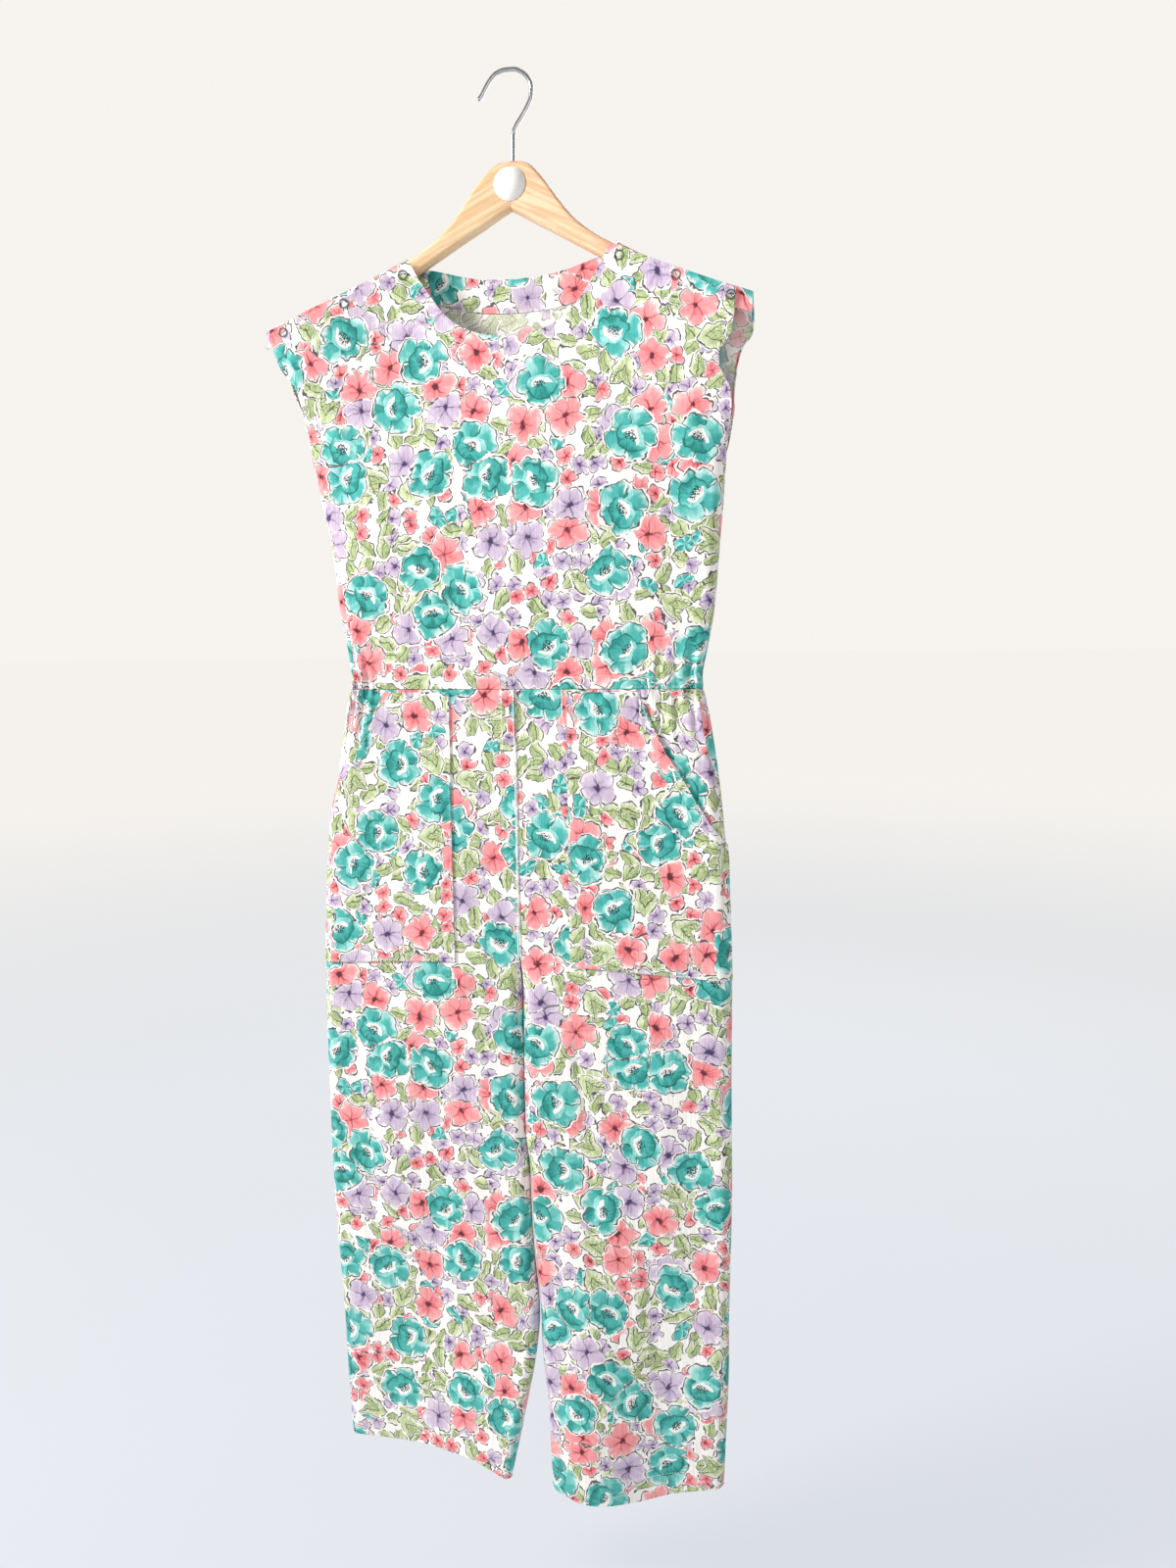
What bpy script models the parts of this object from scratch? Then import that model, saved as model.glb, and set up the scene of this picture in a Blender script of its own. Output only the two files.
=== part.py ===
"""A sleeveless romper with cropped straight legs, hanging on a wooden hanger.

Metres, +Z up. The origin is the inner top of the hanger's hook, the front faces -Y, and left and
right are the viewer's. The tables below are in millimetres, one row for each section or fold.
"""

import math

import bmesh
import bpy
import numpy as np
from mathutils import Matrix, Vector

MM = 0.001
CLOTH = 1.6
SEAM_GAP = 0.5
LAY_GAP = 0.4

# Heights
WAIST_Z = -620.0
HEM_Z = -1504.0
UNDERARM_Z = -397.0
OPEN_ABOVE_Z = -384.0
TIP_Z = -243.0

# Step along a surface's parameters that gives its normals
STEP = 2e-4

# Depth of the hanging tube of cloth
SIDE_Y = -18.0
HALF_DEPTH = 11.5
EDGE_SHARE = 0.06
FLAT_WIDTH = 400.0

# Bodice sides: z, edges of the front and of the back, and how far the back wraps onto the front
SIDE_COLUMNS = ("z", "front_left", "front_right", "back_left", "back_right", "left_wrap")
SIDES = (
    (-236, -256, 231, -261, 247, 0),
    (-252, -257, 230.5, -260, 249, 0),
    (-263, -254, 229, -256, 249, 0),
    (-275, -250, 227, -251.5, 247, 0),
    (-284, -246, 220, -248.5, 239.5, 0),
    (-292, -240, 214.5, -245.5, 235.5, 0),
    (-303, -232, 215, -242, 232.5, 0),
    (-315, -228, 220, -238, 231, 0),
    (-326, -225.5, 225.5, -234, 229.5, 0),
    (-345, -222.5, 227, -229.5, 228.5, 0),
    (-371, -221, 223, -225, 225, 0),
    (-397, -218, 219.5, -218, 219.5, 0),
    (-430, -212, 217.5, -212, 217.5, 5),
    (-463, -204, 215, -204, 215, 10),
    (-534, -197.5, 210, -197.5, 210, 17),
    (-585, -189, 201, -189, 201, 15),
    (-608, -187, 197, -187, 197, 12),
    (-620, -188.5, 198, -188.5, 198, 12),
)

# Half of each neckline, from its middle: share of the panel's width, x, z
FRONT_NECK = (
    (0.0, 0, -261.5),
    (0.039, 27, -258),
    (0.073, 50, -249.5),
    (0.107, 69, -235),
    (0.138, 82, -218),
    (0.17, 95, -199),
    (0.2, 105, -180.5),
)
BACK_NECK = (
    (0.0, 0, -199),
    (0.06, 32, -197.3),
    (0.11, 56, -193),
    (0.155, 78, -187.5),
    (0.2, 104, -181.7),
)
NECK_SHARE = 0.2
NECK_POINT = 104.0
FACING_DEPTH = 0.083

# Distance of the shoulder tips from the middle, left and right
FRONT_TIPS = (255.0, 231.0)
BACK_TIPS = (260.0, 247.0)

# Shoulder: distance from the middle, top of the back's fold over the hanger, front's upper edge
SHOULDER_COLUMNS = ("out", "fold", "front")
SHOULDER = (
    (104, -172, -180),
    (115, -178.5, -183),
    (130, -187, -190),
    (150, -197, -199),
    (175, -208.5, -210),
    (212, -224, -226),
    (235, -232, -236.5),
    (261, -241, -246),
)
UNDERLAP = 12.0
TURN_SHARE = 0.6

# How the bodice lies over the hanger's arms and hangs free below them
ARM_ROOM = 0.6
BACK_ROOM = 2.4
SOFT_BACK = 60.0
ARMS_CARRY_TO = -250.0
FREE_AFTER = 150.0
FRONT_BELLY = 2.5
BACK_BELLY = 2.0
BELLY_HALF = 210.0
ROUND_FROM = -338.0

# Soft folds of the front's shoulders: middle x and z, half width, half height, lean, depth forwards
DRAPES = (
    (226, -299, 22, 19, 0.0, -5.0),
    (-191, -259, 26, 6, 0.25, 2.0),
)

# Hanger: distance from the middle, top and bottom of the wood
ARM_COLUMNS = ("out", "top", "bottom")
ARM = (
    (0, -86, -134),
    (10, -86.8, -139.5),
    (20, -91, -145.5),
    (30, -101, -151.5),
    (38, -111, -156),
    (50, -127.5, -163),
    (65, -146, -172),
    (85, -163, -184),
    (106, -176.2, -196),
    (130, -190.2, -209),
    (150, -200.2, -219),
    (175, -211.7, -231),
    (200, -222, -242),
    (214, -229, -248),
    (220, -234, -247),
    (223, -238, -243),
)
ARM_HALF = 6.5
ARM_CORNER = 6.0
SWEEP = 0.10
SWEEP_BOW = 0.00012
ARM_END = 225.0

# Centre line of the hook's wire, from its tip down to the wood
HOOK = (
    (-33, -23.5),
    (-29.5, -19.5),
    (-25.5, -13),
    (-20.5, -6),
    (-13.5, -0.2),
    (-5, 2.0),
    (4, 1.8),
    (12.5, -1.8),
    (19, -8),
    (22.3, -16.5),
    (21.5, -26),
    (17.5, -35),
    (11.5, -44),
    (5.5, -52.5),
    (2.6, -60),
    (2.2, -72),
    (2.0, -85.4),
)
HOOK_WIRE = 4.2

LABEL_RADIUS = 16.5
LABEL_Z = -109.5

# Legs: z, outer edge, inner edge and back's wrap of each leg
LEG_COLUMNS = ("z", "left_outer", "left_inner", "right_inner", "right_outer", "left_wrap", "right_wrap")
LEGS = (
    (-620, -188.5, 0, 0, 198, 12, 10),
    (-640, -193, 0, 0, 202.5, 13, 12.5),
    (-670, -197.8, 0, 0, 207, 14, 13.5),
    (-715, -206, 0, 0, 213.6, 13, 7),
    (-769, -218.5, 0, 0, 220, 8.5, 0.5),
    (-812, -222.5, 0, 0, 224.5, 4, 0),
    (-860, -225.5, 0, 0, 226.5, 0, 0),
    (-948, -229.7, 0, 0, 228.2, 0, 0),
    (-1110, -233, 0, 0, 228, 0, 0),
    (-1140, -233, 3, 3, 228, 0, 0),
    (-1242, -230.5, 8, 8, 227.5, 0, 0),
    (-1322, -227, 14, 15, 226, 0, 0),
    (-1360, -225, 11, 16, 225.5, 0, 0),
    (-1431, -223, -2, 23, 223, 0, 0),
    (-1504, -221, -19, 27, 221, 0, 0),
)

# Depth of the legs: z, mid depth at the outer and inner edges, half depth, front ridge of each leg
DEPTH_COLUMNS = ("z", "outer_y", "left_inner_y", "right_inner_y", "half", "left_ridge", "right_ridge")
DEPTHS = (
    (-620, -18, -18, -18, 11.5, 0, 0),
    (-715, -18, -18, -18, 12.5, 0.5, 0.5),
    (-935, -18, -18, -18, 13.5, 1, 1),
    (-1110, -18, -19, -18, 12.5, 1, 4),
    (-1300, -18, -27, -22, 11.5, 2, 11),
    (-1504, -18, -41, -28, 11, 3, 21),
)
RIDGE_AT = 0.72
RIDGE_WIDTH = 0.27
SWING_POWER = 2.2

# How far the hem hangs below HEM_Z, at each place across from the outer edge
HEM_COLUMNS = ("across", "left", "right")
HEMS = (
    (0.0, -3, 3.5),
    (0.27, -5.5, 14.5),
    (0.5, -7.5, 24),
    (0.68, -5, 25),
    (0.8, -1, 25),
    (0.9, 5.5, 21),
    (1.0, 13, 16),
)
DROOP_FROM = -1300.0
SPLIT_FROM = -900.0
SPLIT_LENGTH = 50.0

# Folds pressed into the fronts below the waist: leg, place across it, length and depth
PLEATS = (
    ("left", 0.444, 34, 2.0),
    ("left", 0.926, 84, 3.0),
    ("right", 0.525, 80, 2.6),
    ("right", 0.745, 62, 2.4),
)
PLEAT_EDGE = 0.008
PLEAT_FALL = 0.09
PLEAT_FADE = 0.7

# Gathers of the elastic waist, by the share of the panel's width that they take
GATHER_DEPTH = 2.2
GATHER_UNEVEN = 0.22
GATHER_BEAT = 2.4
GATHER_FADE = 2.5
BACK_FOLDS = 14
GATHER_ABOVE = 46.0
GATHER_BELOW = 62.0
CENTRE_FADE = 12.0
FRONT_GATHERS = {"left": 0.10, "right": 0.17}
FRONT_FOLDS = {"left": 3, "right": 4}

# Patch pockets: distance of the inner edge and of the mouth's upper end from the middle, and the
# height where the slanted mouth ends
POCKETS = {"left": (72.5, 146, -726), "right": (56.5, 131, -788)}
POCKET_TOP_Z = -623.0
POCKET_BOTTOM_Z = -917.0
POCKET_SLANT = 8.0
POCKET_CLOTH = 1.4
POCKET_SEAM = 0.012
MOUTH_LIFT = 1.6

# Heights of the legs' rows, down to the pockets' lower edge and below it
POCKET_ROWS = (-620.2, -632, -648, -668, -692, -722, -765, -820, -880, -915)
LOWER_LEG_ROWS = (-935, -960, -1020, -1100, -1190, -1260, -1320, -1370, -1430, HEM_Z)

# Ring snaps on the front's shoulder edges: x, z
SNAPS = {
    "left": ((-111.5, -194.5), (-174, -220.5), (-240, -247)),
    "right": ((114.5, -192.5), (172.5, -216.5), (226, -241)),
}
SNAP_RADIUS = 4.4
SNAP_WIDTH = 1.3
SNAP_HEIGHT = 0.9

COLORS = {
    "printed_cotton": ((0.72, 0.78, 0.74), 0.85, 0.0),
    "beech": ((0.78, 0.52, 0.30), 0.45, 0.0),
    "bright_wire": ((0.62, 0.62, 0.62), 0.2, 1.0),
    "snap_metal": ((0.33, 0.34, 0.36), 0.35, 1.0),
    "blank_paper": ((0.9, 0.9, 0.88), 0.6, 0.0),
}


def curve(places, values):
    """A smooth line through points in order of place, which never overshoots them."""
    order = np.argsort(places)
    xs = np.array(places, float)[order]
    ys = np.array(values, float)[order]
    steps = np.diff(ys) / np.diff(xs)
    before, after = steps[:-1], steps[1:]
    same_way = before * after > 0
    joined = np.where(same_way, before + after, 1.0)
    inner = np.where(same_way, 2 * before * after / joined, 0.0)
    slopes = np.concatenate(([steps[0]], inner, [steps[-1]]))

    def at(x):
        x = np.clip(x, xs[0], xs[-1])
        k = np.clip(np.searchsorted(xs, x, "right") - 1, 0, len(xs) - 2)
        width = xs[k + 1] - xs[k]
        t = (x - xs[k]) / width
        rise = ys[k] * (1 + 2 * t) * (1 - t) ** 2 + ys[k + 1] * t * t * (3 - 2 * t)
        return rise + width * (slopes[k] * t * (1 - t) ** 2 - slopes[k + 1] * t * t * (1 - t))

    return at


def table(columns, rows):
    """One smooth curve for each named column, read by the first column."""
    places = [row[0] for row in rows]
    return {name: curve(places, [row[k] for row in rows]) for k, name in enumerate(columns) if k}


def ease(x):
    """Rises smoothly from 0 to 1."""
    x = np.clip(x, 0, 1)
    return x * x * (3 - 2 * x)


SIDE = table(SIDE_COLUMNS, SIDES)
FOLD = table(SHOULDER_COLUMNS, SHOULDER)
WOOD = table(ARM_COLUMNS, ARM)
LEG = table(LEG_COLUMNS, LEGS)
DEPTH = table(DEPTH_COLUMNS, DEPTHS)
HEM = table(HEM_COLUMNS, HEMS)


def sweep(out):
    """How far forward the hanger's arms reach, at this distance from the middle."""
    out = np.minimum(out, ARM_END)
    return -(SWEEP * out + SWEEP_BOW * out * out)


def soft_floor(out, least):
    """A distance that never falls below least, with a soft corner."""
    return (np.abs(out) ** 6 + least**6) ** (1 / 6)


def across(share, width, radius):
    """Distance from the first edge, and roundness at both edges, at a share of a flattened tube."""
    first = np.clip(share / EDGE_SHARE, 0, 1) * math.pi / 2
    last = np.clip((1 - share) / EDGE_SHARE, 0, 1) * math.pi / 2
    middle = np.clip((share - EDGE_SHARE) / (1 - 2 * EDGE_SHARE), 0, 1)
    distance = radius * (1 - np.cos(first)) + (width - 2 * radius) * middle
    distance = distance + radius * np.cos(last)
    return distance, np.sin(first), np.sin(last)


def share_of(arc, width, radius):
    """The share of a flattened tube's face at this arc length from its edge, less than 0 behind it."""
    bend = radius * math.pi / 2
    length = np.abs(arc)
    round_part = EDGE_SHARE * np.minimum(length / bend, 1)
    flat_part = (1 - 2 * EDGE_SHARE) * np.maximum(length - bend, 0) / (width - 2 * radius)
    return np.sign(arc) * (round_part + flat_part)


def gather(share, folds, z, zone=None, first=True):
    """Depth of the elastic's folds, strongest at the waist, over the panel or a zone at one end."""
    place = share if first else 1 - share
    strength = np.ones_like(share)
    if zone:
        place = place / zone
        strength = ease((1 - place) * GATHER_FADE)
    above = np.exp(-(((z - WAIST_Z) / GATHER_ABOVE) ** 2))
    below = np.exp(-(((WAIST_Z - z) / GATHER_BELOW) ** 2))
    reach = np.where(z > WAIST_Z, above, below)
    uneven = 1 - GATHER_UNEVEN + GATHER_UNEVEN * np.sin(place * folds * GATHER_BEAT)
    return GATHER_DEPTH * strength * reach * uneven * np.sin(2 * math.pi * folds * place)


def neck_and_shoulder(share, rows, neck_z_of, tip_left, tip_right):
    """Upper edge of a bodice panel: x and z at each share of its width."""
    from_middle = np.abs(share - 0.5)
    places = [row[0] for row in rows]
    neck_x = curve(places, [row[1] for row in rows])(from_middle)
    neck_z = curve(places, [row[2] for row in rows])(from_middle)
    along = (from_middle - NECK_SHARE) / (0.5 - NECK_SHARE)
    tip = np.where(share < 0.5, tip_left, tip_right)
    shoulder_x = rows[-1][1] + (tip - rows[-1][1]) * np.clip(along, 0, 1)
    on_neck = from_middle <= NECK_SHARE
    x = np.where(on_neck, neck_x, shoulder_x) * np.sign(share - 0.5 + 1e-12)
    return x, np.where(on_neck, neck_z, neck_z_of(shoulder_x))


def bodice_z(down):
    return TIP_Z + (WAIST_Z - TIP_Z) * down


def bodice_down(z):
    return (TIP_Z - z) / (TIP_Z - WAIST_Z)


def side_z(corner_z, down):
    """Height along a side edge that starts at this corner. Below the underarm all edges agree."""
    z = bodice_z(down)
    return z + (corner_z - TIP_Z) * np.clip((z - UNDERARM_Z) / (TIP_Z - UNDERARM_Z), 0, 1)


def coons(share, down, face, top_of):
    """x and z inside a bodice panel, from its upper edge, its two sides and the level waist."""
    top_x, top_z = top_of(share)
    left_z, right_z = top_of(np.array([0.0, 1.0]))[1]
    side_left_z = side_z(left_z, down)
    side_right_z = side_z(right_z, down)
    side_left_x = SIDE[face + "_left"](side_left_z)
    side_right_x = SIDE[face + "_right"](side_right_z)
    waist_left = SIDE[face + "_left"](WAIST_Z)
    waist_right = SIDE[face + "_right"](WAIST_Z)
    waist_x = waist_left + (waist_right - waist_left) * share
    shift_left = SIDE[face + "_left"](left_z)
    shift_right = SIDE[face + "_right"](right_z)
    x = (1 - share) * side_left_x + share * side_right_x + (1 - down) * top_x + down * waist_x
    x = x - (1 - down) * ((1 - share) * shift_left + share * shift_right) - down * waist_x
    z = (1 - share) * side_left_z + share * side_right_z + (1 - down) * top_z + down * WAIST_Z
    z = z - (1 - down) * ((1 - share) * left_z + share * right_z) - down * WAIST_Z
    return x, z


def fold_back(out):
    """Depth of the back's outer face over the hanger's arm."""
    return sweep(soft_floor(out, SOFT_BACK)) + ARM_HALF + LAY_GAP + CLOTH + BACK_ROOM


def fold_under(out):
    """Depth of the back's underlap in front of the hanger's arm."""
    return sweep(np.abs(out)) - ARM_HALF - ARM_ROOM - CLOTH


def fold_radius(out):
    return (fold_back(out) - fold_under(out)) / 2


def front_top(share):
    return neck_and_shoulder(share, FRONT_NECK, FOLD["front"], *FRONT_TIPS)


def back_top(share):
    def start(out):
        return FOLD["fold"](out) - fold_radius(out)

    return neck_and_shoulder(share, BACK_NECK, start, *BACK_TIPS)


def side_roundness(z):
    """0 at the open armhole, 1 where the side seam closes the tube."""
    return ease((ROUND_FROM - z) / (ROUND_FROM - UNDERARM_Z))


def belly(x, z):
    """1 in the middle of the bodice, 0 at its sides and at the waist."""
    return (1 - (x / BELLY_HALF) ** 2) * ease((z - WAIST_Z) / 60)


def drape(x, z, place_x, place_z, half_width, half_height, lean, depth):
    """One soft fold: its depth forwards at x and z."""
    up = (z - place_z + lean * (x - place_x)) / half_height
    return depth * np.exp(-(up**2)) * np.exp(-(((x - place_x) / half_width) ** 2))


def rounded(y, z, first, last):
    """Pulls a face in to the side seams, from the underarm down."""
    closed = side_roundness(z)
    return SIDE_Y + (y - SIDE_Y) * (1 - closed + closed * first) * (1 - closed + closed * last)


def bodice_front(share, down):
    """The front's outer face."""
    distance, first, last = across(share, FLAT_WIDTH, HALF_DEPTH)
    flat = distance / FLAT_WIDTH
    x, z = coons(flat, down, "front", front_top)
    lower = ease((ARMS_CARRY_TO - z) / FREE_AFTER)
    over_arm = sweep(soft_floor(x, NECK_POINT)) - ARM_HALF - ARM_ROOM - 2 * CLOTH - LAY_GAP
    body = SIDE_Y - HALF_DEPTH - FRONT_BELLY * belly(x, z)
    y = over_arm * (1 - lower) + body * lower
    for fold in DRAPES:
        y = y - drape(x, z, *fold)
    y = y - gather(flat, FRONT_FOLDS["left"], z, FRONT_GATHERS["left"])
    y = y - gather(flat, FRONT_FOLDS["right"], z, FRONT_GATHERS["right"], first=False)
    return np.stack([x, rounded(y, z, first, last), z], -1)


def bodice_back(share, down):
    """The back's outer face. Less than 0 down, it turns over the hanger's arm."""
    distance, first, last = across(share, FLAT_WIDTH, HALF_DEPTH)
    flat = distance / FLAT_WIDTH
    x, z = coons(flat, np.maximum(down, 0), "back", back_top)
    lower = ease((ARMS_CARRY_TO - z) / FREE_AFTER)
    body = SIDE_Y + HALF_DEPTH + BACK_BELLY * belly(x, z)
    y = fold_back(x) * (1 - lower) + body * lower + gather(flat, BACK_FOLDS, z)
    turn = np.clip(-down / TURN_SHARE, 0, 1) * math.pi
    radius = fold_radius(x)
    hang = np.clip((-down - TURN_SHARE) / (1 - TURN_SHARE), 0, 1) * UNDERLAP
    over_y = fold_back(x) - radius * (1 - np.cos(turn))
    over_z = z + radius * np.sin(turn) - hang
    y = np.where(down < 0, over_y, rounded(y, z, first, last))
    return np.stack([x, y, np.where(down < 0, over_z, z)], -1)


def leg_z(down):
    return WAIST_Z + (HEM_Z - WAIST_Z) * down


def bodice(panel):
    """The bodice as a tube: 0 to 1 across the front from the left, 1 to 2 across the back.

    Where the armholes are open, each panel ends at its own edge."""

    def surface(around, down):
        height = bodice_z(down)
        first, last = (0, 1) if panel == "front" else (1, 2)
        around = np.where(height > OPEN_ABOVE_Z, np.clip(around, first, last), around)
        front = np.where(height > OPEN_ABOVE_Z, panel == "front", (around <= 1) | (around > 2))
        share = np.where(around > 2, around - 2, np.where(around > 1, 2 - around, around))
        if panel == "front":
            share = np.where(height > OPEN_ABOVE_Z, around, share)
        facing = bodice_front(np.where(front, share, 0.5), np.maximum(down, 0))
        behind = bodice_back(np.where(front, 0.5, share), down)
        return np.where(front[..., None], facing, behind)

    return surface


def leg(side, around, down):
    """A leg as a tube: 0 to 1 across the front from its outer edge, 1 to 2 across the back."""
    z = leg_z(down)
    around = np.mod(around, 2)
    front = around <= 1
    share = np.where(front, around, 2 - around)
    split = ease((SPLIT_FROM - z) / SPLIT_LENGTH)
    towards = 1.0 if side == "left" else -1.0
    outer = LEG[side + "_outer"](z)
    inner = LEG[side + "_inner"](z) - towards * SEAM_GAP / 2
    width = (inner - outer) * towards
    half = DEPTH["half"](z)
    distance, first, last = across(share, width, half)
    across_leg = distance / width
    x = outer + towards * distance
    swing = across_leg**SWING_POWER
    middle = DEPTH["outer_y"](z) * (1 - swing) + DEPTH[side + "_inner_y"](z) * swing
    half = half * first * (1 - split + split * last)
    from_ridge = (across_leg - RIDGE_AT) / RIDGE_WIDTH
    ridge = DEPTH[side + "_ridge"](z) * np.exp(-(from_ridge**2)) * first * last
    folds = gather(across_leg, BACK_FOLDS / 2, z) * first * ease((1 - across_leg) * CENTRE_FADE)
    y_back = middle + half + folds
    zone = FRONT_GATHERS[side] * 2
    folds = gather(across_leg, FRONT_FOLDS[side], z, zone) * first
    y_front = middle - half - ridge - folds
    for pleat_side, place, length, depth in PLEATS:
        if pleat_side == side:
            fade = ease((z - WAIST_Z + length) / (PLEAT_FADE * length))
            past = (across_leg - place) * towards
            step = ease(past / PLEAT_EDGE + 0.5) * np.exp(-np.maximum(past, 0) / PLEAT_FALL)
            y_front = y_front - depth * fade * step
    droop = HEM[side](across_leg) * np.clip((z - DROOP_FROM) / (HEM_Z - DROOP_FROM), 0, 1) ** 2
    return np.stack([x, np.where(front, y_front, y_back), z - droop], -1)


def normal_of(surface, a, b):
    """Unit normals of a surface. They face out where the first parameter runs to the viewer's right
    across a front and the second runs down."""
    along_a = surface(a + STEP, b) - surface(a - STEP, b)
    along_b = surface(a, b + STEP) - surface(a, b - STEP)
    normal = np.cross(along_b, along_a)
    return normal / np.linalg.norm(normal, axis=-1, keepdims=True)


def moved_out(surface, outward, distance):
    """A surface moved along its normals, in millimetres. outward is 1 or -1."""

    def moved(a, b):
        return surface(a, b) + outward * distance * normal_of(surface, a, b)

    return moved


def material(name):
    color, roughness, metallic = COLORS[name]
    made = bpy.data.materials.get(name)
    if made is None:
        made = bpy.data.materials.new(name)
        made.use_nodes = True
        shader = made.node_tree.nodes["Principled BSDF"]
        shader.inputs["Base Color"].default_value = (*color, 1)
        shader.inputs["Roughness"].default_value = roughness
        shader.inputs["Metallic"].default_value = metallic
    return made


def finish(name, bm, finish_name, smooth_degrees=50):
    """Turns a bmesh into a named object with its normals facing out."""
    bmesh.ops.recalc_face_normals(bm, faces=bm.faces)
    mesh = bpy.data.meshes.new(name)
    bm.to_mesh(mesh)
    bm.free()
    mesh.shade_smooth()
    mesh.set_sharp_from_angle(angle=math.radians(smooth_degrees))
    mesh.materials.append(material(finish_name))
    made = bpy.data.objects.new(name, mesh)
    bpy.context.scene.collection.objects.link(made)
    return made


def wall(name, inner, outer, columns, rows, keep=None, finish_name="printed_cotton"):
    """A cloth wall between two surfaces over a grid of columns and rows, less the faces not kept."""
    bm = bmesh.new()
    across_count, down_count = len(columns) - 1, len(rows) - 1
    bmesh.ops.create_grid(bm, x_segments=across_count, y_segments=down_count, size=0.5)
    place = bm.verts.layers.int.new("place")
    for vert in bm.verts:
        column = round((vert.co.x + 0.5) * across_count)
        row = round((vert.co.y + 0.5) * down_count)
        vert[place] = row * len(columns) + column
    if keep:
        lost = []
        for face in bm.faces:
            centre = face.calc_center_median()
            column = int((centre.x + 0.5) * across_count)
            row = int((centre.y + 0.5) * down_count)
            if not keep((columns[column] + columns[column + 1]) / 2, (rows[row] + rows[row + 1]) / 2):
                lost.append(face)
        bmesh.ops.delete(bm, geom=lost, context="FACES")
    sheet = list(bm.verts)
    made = bmesh.ops.extrude_face_region(bm, geom=bm.faces[:], use_keep_orig=True)
    raised = [item for item in made["geom"] if isinstance(item, bmesh.types.BMVert)]
    grid_a, grid_b = np.meshgrid(np.array(columns, float), np.array(rows, float))
    for verts, surface in ((sheet, inner), (raised, outer)):
        points = surface(grid_a, grid_b).reshape(-1, 3) * MM
        for vert in verts:
            vert.co = points[vert[place]]
    return finish(name, bm, finish_name)


def between(surface, start, end):
    """The surface with its first parameter as a share from start(b) to end(b)."""

    def run(share, b):
        return surface(start(b) + (end(b) - start(b)) * share, b)

    return run


def cloth(name, surface, columns, rows, outward, keep=None):
    """A panel whose outer face is the surface and whose inner face is one cloth behind it."""
    wall(name, moved_out(surface, outward, -CLOTH), surface, columns, rows, keep)


def peaks(folds, zone=1.0):
    """The shares where the gathers are highest and deepest."""
    return [zone * (k + 0.5) / (2 * folds) for k in range(int(2 * folds))]


def spread(*groups):
    """One rising list of shares from several, without near doubles."""
    kept = []
    for share in sorted(share for group in groups for share in group):
        if not kept or share - kept[-1] > 0.004:
            kept.append(share)
    return kept


EDGE_STEPS = [EDGE_SHARE * k / 3 for k in range(4)]
BOTH_EDGES = EDGE_STEPS + [1 - step for step in EDGE_STEPS]


def seam_shares(down, wrap):
    """Where a side seam's two edges lie on the tube, from this wrap. Together at the open armhole."""
    closed = ease((OPEN_ABOVE_Z - bodice_z(down)) / 12)
    front_edge = closed * share_of(wrap + SEAM_GAP / 2, FLAT_WIDTH, HALF_DEPTH)
    back_edge = closed * share_of(wrap - SEAM_GAP / 2, FLAT_WIDTH, HALF_DEPTH)
    return front_edge, back_edge


def left_wrap(down):
    return SIDE["left_wrap"](bodice_z(down))


def make_bodice():
    upper_front = (TIP_Z, -256, -268, -277, -285, -292, -301, -311, -323, -343)
    upper_back = (TIP_Z, -263, -275, -285, -300, -320, -343)
    lower = (-371, -397, -430, -463, -505, -550, -584, -606, -619.8)
    left = peaks(FRONT_FOLDS["left"], FRONT_GATHERS["left"])
    right = [1 - share for share in peaks(FRONT_FOLDS["right"], FRONT_GATHERS["right"])]
    middle = [0.17, 0.235, 0.765, 0.83] + [0.3 + 0.4 * k / 12 for k in range(13)]
    columns = spread(BOTH_EDGES, [s for s in left if s > EDGE_SHARE], middle, [s for s in right if s < 0.93])
    front = between(
        bodice("front"),
        lambda down: seam_shares(down, left_wrap(down))[0],
        lambda down: 1 - seam_shares(down, 0)[0],
    )
    cloth("front_bodice", front, columns, [bodice_down(z) for z in upper_front + lower], 1)

    turn = [-1.0, -0.8] + [-TURN_SHARE * k / 5 for k in range(5, 0, -1)]
    columns = spread(BOTH_EDGES, [0.3, 0.7], [s for s in peaks(BACK_FOLDS) if EDGE_SHARE < s < 0.93])

    def kept(share, down):
        return down > 0 or abs(share - 0.5) > NECK_SHARE

    back = between(
        bodice("back"),
        lambda down: 1 - seam_shares(down, 0)[1],
        lambda down: 2 + seam_shares(down, left_wrap(down))[1],
    )
    rows = turn + [bodice_down(z) for z in upper_back + lower]
    cloth("back_bodice", back, columns, rows, 1, kept)


def make_facing():
    """The band that finishes the inside of the back's neck."""
    start = LAY_GAP + CLOTH
    columns = [0.31 + 0.38 * k / 14 for k in range(15)]
    rows = [0.001 + (FACING_DEPTH - 0.001) * k / 3 for k in range(4)]

    def inside(distance):
        return moved_out(lambda share, down: bodice("back")(1 + share, down), 1, -distance)

    wall("back_neck_facing", inside(start + 1.2), inside(start), columns, rows)


def leg_faces(side):
    """The leg's surface over the front's and over the back's share, and which way is out."""

    def arc_share(arc, z):
        width = np.abs(LEG[side + "_outer"](z) - LEG[side + "_inner"](z))
        return share_of(arc, width, DEPTH["half"](z))

    def inner_gap(down):
        return arc_share(SEAM_GAP / 2, leg_z(down))

    def wrap(down, gap):
        z = leg_z(down)
        return arc_share(LEG[side + "_wrap"](z) + gap, z)

    def surface(around, down):
        return leg(side, around, down)

    front = between(surface, lambda down: wrap(down, SEAM_GAP / 2), lambda down: 1 - inner_gap(down))
    back = between(surface, lambda down: 1 + inner_gap(down), lambda down: 2 + wrap(down, -SEAM_GAP / 2))
    return front, back, 1 if side == "left" else -1


def leg_rows(heights):
    return [(z - WAIST_Z) / (HEM_Z - WAIST_Z) for z in heights]


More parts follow.
